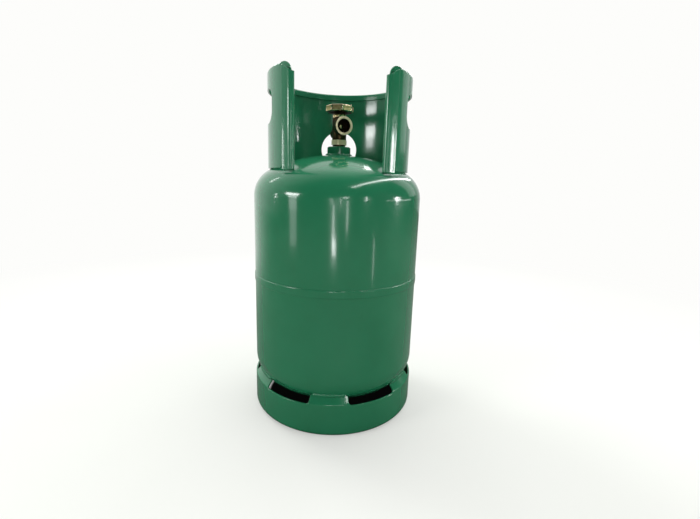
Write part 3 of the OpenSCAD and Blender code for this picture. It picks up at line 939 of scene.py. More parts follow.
@dataclass
class Assembly:
    """Common ground of the sub-assemblies: the frame and the finishes."""

    frame: dict
    finishes: Finishes

    def settle(self, piece: bpy.types.Object, body: Body, slot: Slot, *nodes: str) -> None:
        """Puts a piece on its body and hides the CAD nodes that it replaces.

        Args:
            piece: The finished piece.
            body: Body that it moves with.
            slot: Record's slot of its finish; not used.
            nodes: CAD nodes that it replaces.
        """
        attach(piece, body.value)
        if nodes:
            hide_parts(*nodes)
        LOG.info("%s: %d faces", piece.name, len(piece.data.polygons))

    def enamelled(self, name: str, shape: Shape, sharp_deg: float, node: str) -> None:
        """Builds a fixed piece in enamel from its mesh.

        Args:
            name: Name of the piece.
            shape: Vertices in millimetres and their faces.
            sharp_deg: Edges that turn by more than this stay sharp.
            node: CAD node that it replaces.
        """
        piece = mesh_piece(name, *shape, self.finishes.enamel, sharp_deg)
        self.settle(piece, Body.CYLINDER, Slot.PAINT, node)

    def dress(self, material: bpy.types.Material, *nodes: str) -> None:
        """Gives carried-over CAD nodes their finish.

        Args:
            material: Finish for all their slots.
            nodes: Names of the nodes.
        """
        for node in nodes:
            piece = self.frame["nodes"][node]
            if not piece.data.materials:
                piece.data.materials.append(material)
            for slot in piece.material_slots:
                slot.material = material


# ------------------------------------------------------------ pressure shell


@dataclass
class PressureShell(Assembly):
    """Two deep-drawn halves joined by one weld round the middle."""

    radius: float = 150.0
    plate: float = 2.6
    floor_gap: float = 25.0
    straight: float = 290.0
    seam_rise: float = 147.0
    knuckle: float = 51.0
    crown: float = 270.0
    hole: float = 17.1
    lip: float = 14.0
    lip_gap: float = 0.1
    root_gap: float = 1.0
    seam_width: float = 13.5
    seam_proud: float = 1.2
    seam_sunk: float = 0.05
    outer_step: float = 18.0
    inner_step: float = 40.0
    segments: int = 288
    seam_segments: int = 1500

    def __post_init__(self) -> None:
        """Works out the heights that follow from the arcs."""
        self.knuckle_x = self.radius - self.knuckle
        self.drop = math.sqrt((self.crown - self.knuckle) ** 2 - self.knuckle_x ** 2)
        self.join = math.asin(self.knuckle_x / (self.crown - self.knuckle))
        self.low_z = self.floor_gap + self.crown - self.drop
        self.high_z = self.low_z + self.straight
        self.seam_z = self.low_z + self.seam_rise
        self.lip_r = self.radius - (self.plate + self.lip_gap)

    def head_z(self, radius: float) -> float:
        """Gives the upper head's height at a radius.

        The knuckle is an arc about (knuckle_x, high_z) and the crown an arc
        about (0, high_z - drop).

        Args:
            radius: Distance from the axis.

        Returns:
            Height of the outside surface.
        """
        if radius > self.knuckle_x + self.knuckle * math.sin(self.join):
            return self.high_z + math.sqrt(self.knuckle ** 2 - (radius - self.knuckle_x) ** 2)
        return self.high_z - self.drop + math.sqrt(self.crown ** 2 - radius ** 2)

    def head(self, thinned: float, from_r: float, steps: int = 26) -> Array:
        """Draws a head's profile from near the axis to its tangent line.

        Crown: (c sin f, c cos f - drop) for f from the first radius to the
        join. Knuckle: (knuckle_x + k sin f, k cos f) from the join to 90 degrees.

        Args:
            thinned: Distance inside the outer surface.
            from_r: Radius where the profile starts.
            steps: Steps along each arc.

        Returns:
            Radius and height above the tangent line.
        """
        crown, knuckle = self.crown - thinned, self.knuckle - thinned
        f = np.linspace(math.asin(from_r / crown), self.join, steps)
        g = np.linspace(self.join, math.pi / 2, steps)[1:]
        return np.concatenate([
            np.stack([crown * np.sin(f), crown * np.cos(f) - self.drop], axis=1),
            np.stack([self.knuckle_x + knuckle * np.sin(g), knuckle * np.cos(g)], axis=1)])

    def upper(self) -> Shape:
        """Draws the upper half: outside from hole to seam, inside back.

        Returns:
            Vertices in millimetres and their faces.
        """
        outer, inner = self.head(0.0, self.hole), self.head(self.plate, self.hole)
        outer[:, 1] += self.high_z
        inner[:, 1] += self.high_z
        low = self.seam_z + self.root_gap
        inner_r = self.radius - self.plate
        wall = dense([(self.radius, self.high_z), (self.radius, low)], self.outer_step)[1:]
        back = dense([(inner_r, low), (inner_r, self.high_z)], self.inner_step)[:-1]
        return lathe(np.concatenate([outer, wall, back, inner[::-1]]), self.segments, True)

    def lower(self) -> Shape:
        """Draws the lower half with its joggled lip.

        Returns:
            Vertices in millimetres and their faces.
        """
        outer, inner = self.head(0.0, 0.0), self.head(self.plate, 0.0)
        outer[:, 1] = self.low_z - outer[:, 1]
        inner[:, 1] = self.low_z - inner[:, 1]
        inner_r, lip_r = self.radius - self.plate, self.lip_r
        top = self.seam_z + self.lip
        bend, back_z = self.seam_z - self.plate, self.seam_z - 2 * self.plate
        wall = dense([(self.radius, self.low_z), (self.radius, bend)], self.outer_step)[1:]
        lip = np.array([
            (lip_r, self.seam_z), (lip_r, top), (lip_r - self.plate, top),
            (lip_r - self.plate, bend), (inner_r, back_z)])
        back = dense([(inner_r, back_z), (inner_r, self.low_z)], self.inner_step)[1:-1]
        return lathe(np.concatenate([outer, wall, lip, back, inner[::-1]]), self.segments, False)

    def seam(self) -> Shape:
        """Draws the weld: a flat bead with rounded shoulders.

        Across its width t from -1 to 1 it stands proud by seam_proud times
        (1 - t^12) ^ 0.7. Slow waves, and fine ripples 5 mm apart, lower
        that by up to a tenth of a millimetre.

        Returns:
            Vertices in millimetres and their faces.
        """
        t = np.sin(np.linspace(-math.pi / 2, math.pi / 2, 19))
        proud = self.seam_proud * (1.0 - np.abs(t) ** 12) ** 0.7
        band = np.stack([self.radius + proud, self.seam_z + t * self.seam_width / 2], axis=1)
        sunk_r, root_z = self.radius - self.seam_sunk, self.seam_z + self.root_gap
        band[[0, -1], 0] = sunk_r
        root = np.array([(sunk_r, root_z), (self.lip_r, root_z), (self.lip_r, self.seam_z),
                         (sunk_r, self.seam_z - self.plate)])
        profile = np.concatenate([band, root])
        weight = np.concatenate([proud / self.seam_proud, np.zeros(len(root))])[:, None]

        def swell(angle: Array, step: Array) -> Array:
            """Gives the slow unevenness of the bead.

            Args:
                angle: Angles round the axis.
                step: Steps of the profile.

            Returns:
                The change in radius.
            """
            slow = np.sin(7 * angle + 1.0) + 0.7 * np.sin(19 * angle + 0.3 * step)
            fine = np.sin(188 * angle + 0.25 * (step - 9) ** 2 / 9)
            return -weight[step[:, 0]] * (0.05 - 0.02 * slow - 0.02 * fine)

        return lathe(profile, self.seam_segments, True, swell)

    def make(self) -> None:
        """Builds the two halves and their weld."""
        self.enamelled("upper_shell_skin", self.upper(), 30.0, "upper_shell")
        self.enamelled("lower_shell_skin", self.lower(), 30.0, "lower_shell")
        self.enamelled("seam_bead", self.seam(), 30.0, "seam_weld")


# ------------------------------------------------------------------ foot ring


@dataclass
class FootRing(Assembly):
    """A pressed ring with a rolled-in foot and six tabs that lean inwards."""

    shell: PressureShell
    radius: float = 151.5
    plate: float = 3.0
    height: float = 57.5
    roll: float = 10.0
    flange: float = 10.0
    tabs: int = 6
    tab_deg: float = 25.5
    lean_deg: float = 41.0
    corner: float = 6.0
    tip_corner: float = 2.0
    bend_rise: float = 0.8
    turn_deg: float = -2.5
    bend_radius: float = 2.2
    bead: float = 3.6
    bead_sunk: float = 0.6
    bead_short_deg: float = 1.2

    def __post_init__(self) -> None:
        """Works out the tabs' bend, where they meet the shell and the section's lengths."""
        self.lean = lean = math.radians(self.lean_deg)
        self.lean_dir = np.array([-math.sin(lean), math.cos(lean)])
        self.lean_out = np.array([math.cos(lean), math.sin(lean)])
        start = np.array([self.radius - self.plate, self.height + self.bend_rise])
        knuckle = np.array([self.shell.knuckle_x, self.shell.low_z])
        away = start - knuckle
        along = float(away @ self.lean_dir)
        self.tab_length = -along - math.sqrt(along * along - away @ away + self.shell.knuckle ** 2)
        self.tip = start + self.tab_length * self.lean_dir
        self.middle = self.radius - self.plate / 2
        middle_start = start + self.plate / 2 * self.lean_out
        back = (self.middle - middle_start[0]) / math.sin(lean)
        self.mitre_z = middle_start[1] - back * math.cos(lean)
        self.pitch = 360.0 / self.tabs
        self.roll_mid = self.roll - self.plate / 2
        self.roll_end = self.flange + self.roll_mid * math.pi / 2
        tangent = self.bend_radius * math.tan(lean / 2)
        self.wall_end = self.roll_end + self.mitre_z - tangent - self.roll
        self.bend_end = self.wall_end + self.bend_radius * lean
        self.tip_v = self.bend_end + (self.tab_length + back) - tangent

    def section(self, v: Array) -> tuple[Array, Array, Array, Array]:
        """Follows the middle of the plate up the section.

        In turn: a flat flange, a quarter-circle, an upright wall, a short arc
        through the lean angle, and a straight leaning tab.

        Args:
            v: Distance from the flange's inner edge.

        Returns:
            Radius, height, and the two parts of the outward normal.
        """
        roll, roll_x = self.roll_mid, self.radius - self.roll
        f = np.clip((v - self.flange) / roll, 0.0, math.pi / 2)
        r = roll_x - self.flange + np.minimum(v, self.flange) + roll * np.sin(f)
        upright = np.clip(v - self.roll_end, 0.0, self.wall_end - self.roll_end)
        z = self.roll - roll * np.cos(f) + upright
        g = np.clip((v - self.wall_end) / self.bend_radius, 0.0, self.lean)
        leaning = np.maximum(v - self.bend_end, 0.0)
        r = r - self.bend_radius * (1.0 - np.cos(g)) - math.sin(self.lean) * leaning
        z = z + self.bend_radius * np.sin(g) + math.cos(self.lean) * leaning
        tilt = f - math.pi / 2 + g
        return r, z, np.cos(tilt), np.sin(tilt)

    def sheet(self) -> Shape:
        """Draws the ring, cut flat with its tabs and rolled round.

        Returns:
            Vertices in millimetres and their faces.
        """
        floor_v = self.roll_end + self.height - self.roll
        unit = math.radians(1.0) * self.middle
        # The plate's two ends meet in the middle of a cut-out
        start_deg = self.turn_deg + self.pitch * 2.5
        total = 360.0 * unit
        half_cut = (self.pitch - self.tab_deg) / 2 * unit
        corners, radii = [(0.0, 0.0), (total, 0.0), (total, floor_v)], [0.0, 0.0, 0.0]
        for i in range(self.tabs):
            high = total - (i * self.pitch) * unit - half_cut
            low = high - self.tab_deg * unit
            corners += [(high, floor_v), (high, self.tip_v), (low, self.tip_v), (low, floor_v)]
            radii += [self.corner, self.tip_corner, self.tip_corner, self.corner]
        corners.append((0.0, floor_v))
        radii.append(0.0)
        outline = dense_loop(soften(corners, radii), 1.1)
        lines_u = np.linspace(0.0, total, 361)[1:-1]
        lines_v = np.concatenate([
            np.linspace(0.0, self.flange, 5)[1:],
            np.linspace(self.flange, self.roll_end, 13)[1:],
            np.linspace(self.roll_end, self.wall_end, 14)[1:],
            np.linspace(self.wall_end, self.bend_end, 6)[1:],
            np.linspace(self.bend_end, self.tip_v, 6)[1:]])

        def place(u: Array, v: Array, n: Array) -> Array:
            """Rolls the flat plate round the axis.

            Args:
                u: Way round from the joint.
                v: Way up the section.
                n: Distance from the plate's middle surface.

            Returns:
                The points in space.
            """
            r, z, out, up = self.section(v)
            angle = np.radians(start_deg) + u / self.middle
            return round_axis(r + n * out, angle, z + n * up)

        return PressedSheet(self.plate).build([outline], lines_u, lines_v, place, (0.0, total))

    def welds(self) -> Shape:
        """Lays a bead at the tip of each tab.

        Returns:
            Vertices in millimetres and their faces.
        """
        outer = self.tip + self.plate * self.lean_out
        knuckle = np.array([self.shell.knuckle_x, self.shell.low_z])
        away = (outer - knuckle) / np.linalg.norm(outer - knuckle)
        centre = knuckle + away * (self.shell.knuckle - self.bead_sunk)
        half = self.tab_deg / 2 - self.bead_short_deg
        middles = [self.turn_deg + self.pitch * i for i in range(self.tabs)]
        return joined([
            weld_bead(middle - half, middle + half, (float(centre[0]), float(centre[1])),
                      self.bead)
            for middle in middles])

    def make(self) -> None:
        """Builds the ring and its welds."""
        self.enamelled("foot_ring_plate", self.sheet(), 50.0, "foot_ring")
        self.enamelled("foot_ring_beads", self.welds(), 60.0, "foot_ring_welds")


# ---------------------------------------------------------------- valve guard


@dataclass
class ValveGuard(Assembly):
    """A rolled guard with hemmed front edges, hand holes and a folded rim."""

    shell: PressureShell
    radius: float = 125.0
    plate: float = 3.0
    rise: float = 128.0
    gap: float = 3.0
    mouth_deg: float = 35.5
    hem_deg: float = 6.0
    hem_gap: float = 6.0
    hem_drop: float = 12.5
    hem_slope: float = 30.0
    horn: float = 16.0
    horn_lip: float = 2.3
    rim_fold: float = 8.0
    rim_deg: float = 47.5
    hand_wide: float = 118.0
    hand_high: float = 54.0
    hand_corner: float = 18.0
    hand_rise: float = 72.0
    drain: float = 36.5
    drain_rise: float = 19.0
    foot_half_deg: float = 7.0
    rear_foot_deg: float = 140.0
    arch: float = 4.5
    arch_deg: float = 4.0
    slit: float = 0.45
    slit_depth: float = 0.6
    fold_bend: float = 0.3
    strip_corner: float = 2.5
    sunk: float = 0.3
    bead: float = 3.2
    bead_shift: float = 0.4
    rear_bead_deg: float = 6.0

    def __post_init__(self) -> None:
        """Works out the flat plate's lengths."""
        self.mid = self.radius - self.plate / 2
        self.top_z = self.shell.high_z + self.shell.crown - self.shell.drop
        self.top = self.top_z + self.rise
        self.head_z = self.shell.head_z(self.radius)
        self.low = self.head_z + self.gap
        self.bend_mid = (self.hem_gap + self.plate) / 2
        self.bend_r = self.mid + self.bend_mid
        self.strip_r = self.mid + 2 * self.bend_mid
        self.fold_mid = (self.plate + self.fold_bend) - self.plate / 2
        self.fold_z = self.top - self.plate - self.fold_bend
        self.wall_end = self.mid * math.radians(180.0 - self.mouth_deg)
        self.bend_end = self.wall_end + math.pi * self.bend_mid
        self.strip_end = self.bend_end + self.strip_r * math.radians(self.hem_deg)
        self.rim_end = self.mid * math.radians(180.0 - self.rim_deg)
        self.rim_v = self.fold_z + math.pi * self.fold_mid + self.rim_fold

    def along(self, azimuth_deg: float) -> float:
        """Returns the way from the back's middle to an azimuth on the wall."""
        return self.mid * math.radians(180.0 - azimuth_deg)

    def place(self, u: Array, v: Array, n: Array) -> Array:
        """Bends the flat plate into the guard.

        In plan the way w = |u| from the back's middle runs along the wall's
        arc, then a half-circle outwards at the hem, then the outer strip's
        arc. Up the wall, past the fold's height, the plate turns through a
        half-circle inwards and comes straight down.

        Args:
            u: Way round from the back's middle, positive towards +X.
            v: Height, or the way up and over the fold.
            n: Distance from the plate's middle surface, outwards on the wall.

        Returns:
            The points in space.
        """
        w, side = np.abs(u), np.where(u < 0.0, -1.0, 1.0)
        mouth = math.radians(self.mouth_deg)
        on_wall, on_strip = w <= self.wall_end, w > self.bend_end
        azimuth = np.where(on_wall, math.pi - w / self.mid, mouth)
        azimuth = np.where(on_strip, mouth + (w - self.bend_end) / self.strip_r, azimuth)
        out = np.stack([np.sin(azimuth), -np.cos(azimuth)], axis=1)
        ahead = np.stack([-np.cos(azimuth), -np.sin(azimuth)], axis=1)
        turn = np.clip((w - self.wall_end) / self.bend_mid, 0.0, math.pi)[:, None]
        centre = self.bend_r * out
        plan = centre + self.bend_mid * (np.sin(turn) * ahead - np.cos(turn) * out)
        plan = np.where(on_strip[:, None], self.strip_r * out, plan)
        normal = np.cos(turn) * out - np.sin(turn) * ahead
        folds = (w < self.rim_end) & (v > self.fold_z)
        f = np.where(folds, np.clip((v - self.fold_z) / self.fold_mid, 0.0, math.pi), 0.0)
        down = np.where(folds, np.maximum(v - self.fold_z - math.pi * self.fold_mid, 0.0), 0.0)
        inwards = -self.fold_mid * (1.0 - np.cos(f)) + n * np.cos(f)
        height = np.where(folds, self.fold_z + self.fold_mid * np.sin(f) - down + n * np.sin(f), v)
        flat = plan + normal * inwards[:, None]
        return np.stack([side * flat[:, 0], flat[:, 1], height], axis=1)

    def half_outline(self) -> Array:
        """Draws the outline of the +X half, from the top's middle round to the bottom's.

        The horn is a quarter-circle. Past it the hem's edge falls along its
        bend as hem_z - bend_mid sin(g) tan(hem_slope), then rises along the
        outer strip at hem_slope.

        Returns:
            The way round and the height of each point.
        """
        slope = math.tan(math.radians(self.hem_slope))
        hem_z = self.top - self.hem_drop - self.horn_lip
        slit, rim = self.slit, self.rim_end
        slit_v = self.fold_z - self.slit_depth
        # A slit frees the fold from the horn beside it
        top = soften([
            (0.0, self.rim_v), (rim - slit, self.rim_v), (rim - slit, slit_v),
            (rim + slit, slit_v), (rim + slit, self.top),
            (self.wall_end - self.horn_lip - self.horn, self.top)],
            [0.0, 1.2, 0.42, 0.42, 1.2, 0.0], closed=False)
        f = np.linspace(0.0, math.pi / 2, 24)[1:]
        horn = np.stack([
            self.wall_end - self.horn_lip - self.horn + self.horn * np.sin(f),
            self.top - self.horn + self.horn * np.cos(f)], axis=1)
        g = np.linspace(0.0, math.pi, 20)
        bend = np.stack([self.wall_end + self.bend_mid * g,
                         hem_z - self.bend_mid * np.sin(g) * slope], axis=1)
        bend[0, 1] = self.top - self.horn - 0.3
        w = np.linspace(self.bend_end, self.strip_end, 8)[1:]
        strip = np.stack([w, hem_z + (w - self.bend_end) * slope], axis=1)
        corner = soften([tuple(strip[-2]), tuple(strip[-1]), (self.strip_end, self.head_z),
                         (self.bend_end, self.head_z)],
                        [0.0, self.strip_corner, 0.0, 0.0], closed=False)
        under = np.stack([self.wall_end + self.bend_mid * g[::-1],
                          np.full(len(g), self.head_z)], axis=1)
        head = self.head_z - self.sunk
        arch_w = self.along(self.mouth_deg + self.hem_deg + self.arch_deg)
        h = np.linspace(0.0, math.pi, 14)
        arch = np.stack([arch_w + self.arch * np.cos(h), self.low + self.arch * np.sin(h)], axis=1)
        rear_a = self.along(self.rear_foot_deg - self.foot_half_deg)
        rear_b = self.along(self.rear_foot_deg + self.foot_half_deg)
        bottom = soften([
            (arch_w - self.arch, self.low), (rear_a, self.low), (rear_a, head),
            (rear_b, head), (rear_b, self.low), (0.0, self.low)],
            [1.2, 2.0, 0.0, 0.0, 2.0, 0.0], closed=False)
        foot = np.array([(self.wall_end, head), (arch_w + self.arch, head)])
        return np.concatenate([top, horn, bend, strip[:-2], corner, under[1:-1], foot, arch,
                               bottom[1:]])

    def sheet(self) -> Shape:
        """Draws the guard, cut flat with its holes and bent.

        Returns:
            Vertices in millimetres and their faces.
        """
        half = self.half_outline()
        mirrored = half[::-1][1:-1] * [-1.0, 1.0]
        outline = dense_loop(np.concatenate([half, mirrored])[::-1], 1.0)
        box_y, box_z = self.hand_wide / 2, self.hand_high / 2
        hole = soften([(-box_y, -box_z), (box_y, -box_z), (box_y, box_z), (-box_y, box_z)],
                      self.hand_corner, steps=16)
        hole = dense_loop(hole, 1.0)
        across = self.mid * (math.pi / 2 - np.arcsin(hole[:, 0] / self.mid))
        right = np.stack([across, self.top_z + self.hand_rise + hole[:, 1]], axis=1)
        left = right[::-1] * [-1.0, 1.0]
        a = np.linspace(0.0, TAU, 230, endpoint=False)
        drain = np.stack([
            self.mid * np.arcsin(self.drain * np.cos(a) / self.mid),
            self.top_z + self.drain_rise - self.drain * np.sin(a)], axis=1)
        lines_u = np.concatenate([
            np.linspace(0.0, self.wall_end, 145)[1:],
            np.linspace(self.wall_end, self.bend_end, 17)[1:],
            np.linspace(self.bend_end, self.strip_end, 8)[1:-1]])
        lines_u = np.concatenate([-lines_u[::-1], [0.0], lines_u])
        fold_top = self.fold_z + math.pi * self.fold_mid
        lines_v = np.concatenate([
            np.linspace(self.head_z, self.fold_z, 38),
            np.linspace(self.fold_z, fold_top, 13)[1:],
            np.linspace(fold_top, self.rim_v, 5)[1:]])
        holes = [loop if self.turns_right(loop) else loop[::-1]
                 for loop in (right, left, drain)]
        return PressedSheet(self.plate).build([outline, *holes], lines_u, lines_v, self.place)

    @staticmethod
    def turns_right(loop: Array) -> bool:
        """Tells whether a loop runs clockwise."""
        ahead = np.roll(loop, -1, axis=0)
        return float((loop[:, 0] * ahead[:, 1] - ahead[:, 0] * loop[:, 1]).sum()) < 0.0

    def welds(self) -> Shape:
        """Lays the fillets at the guard's feet.

        Returns:
            Vertices in millimetres and their faces.
        """
        parts = []
        for from_deg, to_deg, radius, shift in (
                (self.mouth_deg + 0.5, self.mouth_deg + self.hem_deg + 1.0,
                 self.radius - self.plate, -self.bead_shift),
                (self.rear_foot_deg - self.rear_bead_deg,
                 self.rear_foot_deg + self.rear_bead_deg, self.radius, self.bead_shift)):
            centre = (radius + shift, self.shell.head_z(radius) - self.sunk)
            parts.append(weld_bead(from_deg, to_deg, centre, self.bead))
            parts.append(weld_bead(-to_deg, -from_deg, centre, self.bead))
        return joined(parts)

    def make(self) -> None:
        """Builds the guard and its welds."""
        self.enamelled("valve_guard_plate", self.sheet(), 50.0, "valve_guard")
        self.enamelled("valve_guard_beads", self.welds(), 60.0, "guard_welds")


# ------------------------------------------------------------------- the bung


@dataclass
class Bung(Assembly):
    """The threaded bung that is welded into the upper head."""

    shell: PressureShell
    radius: float = 20.75
    spigot: float = 17.0
    spigot_depth: float = 9.0
    rise: float = 14.6
    bore: float = 12.5
    chamfer: float = 1.5
    bead: float = 3.1

    def make(self) -> None:
        """Builds the bung and its weld."""
        base = self.shell.head_z(self.spigot)
        top = base + self.rise
        profile = soften([
            (self.bore, base - self.spigot_depth), (self.spigot, base - self.spigot_depth),
            (self.spigot, base), (self.radius, base), (self.radius, top - self.chamfer),
            (self.radius - self.chamfer, top), (self.bore, top)],
            [0.3, 0.3, 0.0, 0.0, 0.6, 0.6, 0.4], steps=3)
        self.enamelled("bung_body", lathe(profile, 128, True), 40.0, "bung")
        bead = weld_bead(0.0, 360.0, (self.radius + 0.2, base - 0.6), self.bead)
        self.enamelled("bung_bead", bead, 60.0, "bung_weld")


# ------------------------------------------------------------------ the valve


@dataclass
class Valve(Assembly):
    """Forged brass body, its bonnet and the relief valve's cap.

    The rise of the top, the hex's ends and the outlet's middle are heights
    above the bung. The outlet points turn_deg from -Y towards +X.
    """

    turn_deg: float = 20.0
    reach: float = 24.0
    mouth: float = 2.0
    rise: float = 50.0
    hex_low: float = 3.3
    hex_high: float = 12.2
    outlet_z: float = 34.5
    bore_r: float = 11.7
    bore_from: float = 8.0

    def bevelled_copy(self, node: str, name: str, width: float,
                      materials: list[bpy.types.Material]) -> bpy.types.Object:
        """Copies a node's mesh, joins its corners and rounds its edges.

        Args:
            node: CAD node to copy.
            name: Name of the copy.
            width: Width of the rounding in millimetres.
            materials: Finishes of the copy.

        Returns:
            The copy.
        """
        mesh = self.frame["nodes"][node].data.copy()
        mesh.name = name
        work = bmesh.new()
        work.from_mesh(mesh)
        bmesh.ops.remove_doubles(work, verts=work.verts, dist=1e-6)
        bmesh.ops.dissolve_limit(work, angle_limit=math.radians(0.6), verts=work.verts,
                                 edges=work.edges)
        work.to_mesh(mesh)
        work.free()
        mesh.materials.clear()
        for material in materials:
            mesh.materials.append(material)
        mesh.polygons.foreach_set("use_smooth", np.ones(len(mesh.polygons), dtype=bool))
        mesh.set_sharp_from_angle(angle=math.radians(35.0))
        piece = bpy.data.objects.new(name, mesh)
        bpy.context.scene.collection.objects.link(piece)
        bevel = piece.modifiers.new("rounded_edges", "BEVEL")
        bevel.width = width * MM
        bevel.segments = 2
        bevel.limit_method = "ANGLE"
        bevel.angle_limit = math.radians(40.0)
        bevel.use_clamp_overlap = True
        bevel.harden_normals = False
        return piece

    def machined_faces(self, piece: bpy.types.Object) -> None:
        """Gives the outlet's mouth, the hex and the top the satin finish, and paints shade into
        the bore with the near-black brass.

        Args:
            piece: The valve body, with the forged, satin and painted-shade finishes.
        """
        centre = face_values(piece.data, "center") / MM
        turn = math.radians(self.turn_deg)
        out = centre @ np.array([math.sin(turn), -math.cos(turn), 0.0])
        side = centre @ np.array([math.cos(turn), math.sin(turn), 0.0])
        _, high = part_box("valve_body")
        z = centre[:, 2] - (high.z / MM - self.rise)
        bright = (out > self.reach - self.mouth) | (z > self.rise - 0.3)
        bright |= (z > self.hex_low) & (z < self.hex_high)
        near_axis = np.hypot(side, z - self.outlet_z)
        # Painted shade: faces inside the outlet's bore get the near-black brass
        inside = (near_axis < self.bore_r) & (out > self.bore_from) & ~bright
        set_finishes(piece.data, np.where(inside, 2, bright))

    def make(self) -> None:
        """Builds the body, bonnet and cap, and dresses the inner pieces."""
        forged, turned = self.finishes.forged, self.finishes.turned
        body = self.bevelled_copy("valve_body", "valve_body_forging", 0.45,
                                  [forged, self.finishes.satin, self.finishes.bore])
        self.machined_faces(body)
        self.settle(body, Body.CYLINDER, Slot.BRASS, "valve_body")
        for node, name, width in (
                ("bonnet", "bonnet_hex", 0.3), ("relief_cap", "relief_cap_hex", 0.25)):
            piece = self.bevelled_copy(node, name, width, [turned])
            self.settle(piece, Body.CYLINDER, Slot.BRASS, node)
        self.dress(turned, "spindle", "seat_carrier", "relief_poppet")
        self.dress(self.finishes.nylon, "bonnet_washer", "spindle_washer", "seat_disc")
        self.dress(self.finishes.rubber, "spindle_o_rings", "relief_seal")
        self.dress(self.finishes.zinc, "relief_spring")


@dataclass
class Handwheel(Assembly):
    """An eight-sided brass wheel with its washer and nut."""

    width: float = 50.0
    flats: int = 8
    rim: float = 10.5
    hub: float = 2.6
    hub_r: float = 13.0
    chamfer: float = 1.6
    turn_deg: float = 10.0
    square: float = 7.1
    recess: float = 9.0
    recess_depth: float = 3.0
    rubbed_edge: float = 2.0
    rubbed_corner: float = 0.75
    nut_apothem: float = 4.5
    nut_bore: float = 2.55

    def __post_init__(self) -> None:
        """Works out the distance from the axis to a flat."""
        self.apothem = self.width / 2 * math.cos(math.pi / self.flats)

    def shape(self) -> Shape:
        """Draws the wheel: square hole, hub cone, octagon rim and recess.

        Returns:
            Vertices in millimetres and their faces.
        """
        low_box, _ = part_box("handwheel")
        hub_low = low_box.z / MM
        low = hub_low + self.hub
        top = low + self.rim
        apothem, half = self.apothem, self.square / 2
        rings = [
            Ring(top - self.recess_depth, half, 4, 0.3, turn_deg=45.0),
            Ring(hub_low, half, 4, 0.3, turn_deg=45.0),
            Ring(hub_low, self.hub_r - 0.5), Ring(hub_low + 0.3, self.hub_r),
            Ring(low - 0.4, apothem - 2.3), Ring(low, apothem - 1.6, self.flats, 3.0),
        ]
        # Each edge of the rim is a quarter-round between the face and the flat
        turn = np.linspace(0.0, math.pi / 2, 7)
        lean = self.chamfer * 1.15
        rings += [Ring(low + lean * (1 - math.cos(f)), apothem - lean + lean * math.sin(f),
                       self.flats, 1.0) for f in turn]
        rings += [Ring(top - lean * (1 - math.cos(f)), apothem - lean + lean * math.sin(f),
                       self.flats, 1.0) for f in turn[::-1]]
        rings += [
            Ring(top, self.recess + 0.6), Ring(top - 0.15, self.recess + 0.2),
            Ring(top - 0.5, self.recess), Ring(top - self.recess_depth + 0.3, self.recess),
            Ring(top - self.recess_depth, self.recess - 0.3)]
        return ringed(rings, self.turn_deg, 384)

    def rub_edges(self, wheel: bpy.types.Object) -> None:
        """Gives the rim's edges the rubbed finish and paints shade on the underside with the
        near-black brass.

        Args:
            wheel: The handwheel, with its own finish alone.
        """
        wheel.data.materials.append(self.finishes.rubbed)
        wheel.data.materials.append(self.finishes.bore)
        centre = face_values(wheel.data, "center") / MM
        upward = face_values(wheel.data, "normal")[:, 2]
        radius = np.hypot(centre[:, 0], centre[:, 1])
        level = np.abs(upward) >= 0.97
        edge = (radius > self.apothem - self.rubbed_edge) & (np.abs(upward) > 0.25) & ~level
        edge |= (radius > self.width / 2 - self.rubbed_corner) & ~level
        # Painted shade: downward faces that are not edges get the near-black brass
        painted_shade_underside = (upward < -0.2) & ~edge
        set_finishes(wheel.data, np.where(painted_shade_underside, 2, edge))

    def nut(self) -> Shape:
        """Draws the hex nut with chamfered corners.

        Returns:
            Vertices in millimetres and their faces.
        """
        low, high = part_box("handwheel_nut")
        z0, z1 = low.z / MM, high.z / MM
        flat, bore = self.nut_apothem, self.nut_bore
        rings = [Ring(z0, bore), Ring(z0, flat - 0.2, 0)]
        rings += [Ring(z, flat, 6, 0.15, limit) for z, limit in (
            (z0 + 0.05, 4.6), (z0 + 0.4, 5.1), (z0 + 0.7, 9.0), (z1 - 0.7, 9.0),
            (z1 - 0.4, 5.1), (z1 - 0.05, 4.6))]
        rings += [Ring(z1, flat - 0.2), Ring(z1, bore + 0.4), Ring(z1 - 0.4, bore)]
        return ringed(rings, -90.0, 192)

    def make(self) -> None:
        """Builds the wheel and nut, and dresses the washer."""
        wheel = mesh_piece("handwheel_casting", *self.shape(), self.finishes.wheel, 40.0)
        self.rub_edges(wheel)
        self.settle(wheel, Body.WHEEL, Slot.WHEEL, "handwheel")
        nut = mesh_piece("handwheel_hex_nut", *self.nut(), self.finishes.zinc, 40.0)
        self.settle(nut, Body.WHEEL, Slot.STEEL, "handwheel_nut")
        self.dress(self.finishes.zinc, "handwheel_washer")


# ------------------------------------------------------------------- the stage


@dataclass(frozen=True)
class Lamp:
    """A rectangular lamp in a direction from the shell's shoulder, facing it.

    The azimuth counts from -Y towards +X and the elevation from the horizon.
    The distance and the two sizes are millimetres, the power is watts, and
    shown says whether the gloss mirrors the lamp.
    """

    name: str
    azimuth_deg: float
    elevation_deg: float
    distance: float
    width: float
    height: float
    watts: float
    shown: bool = True


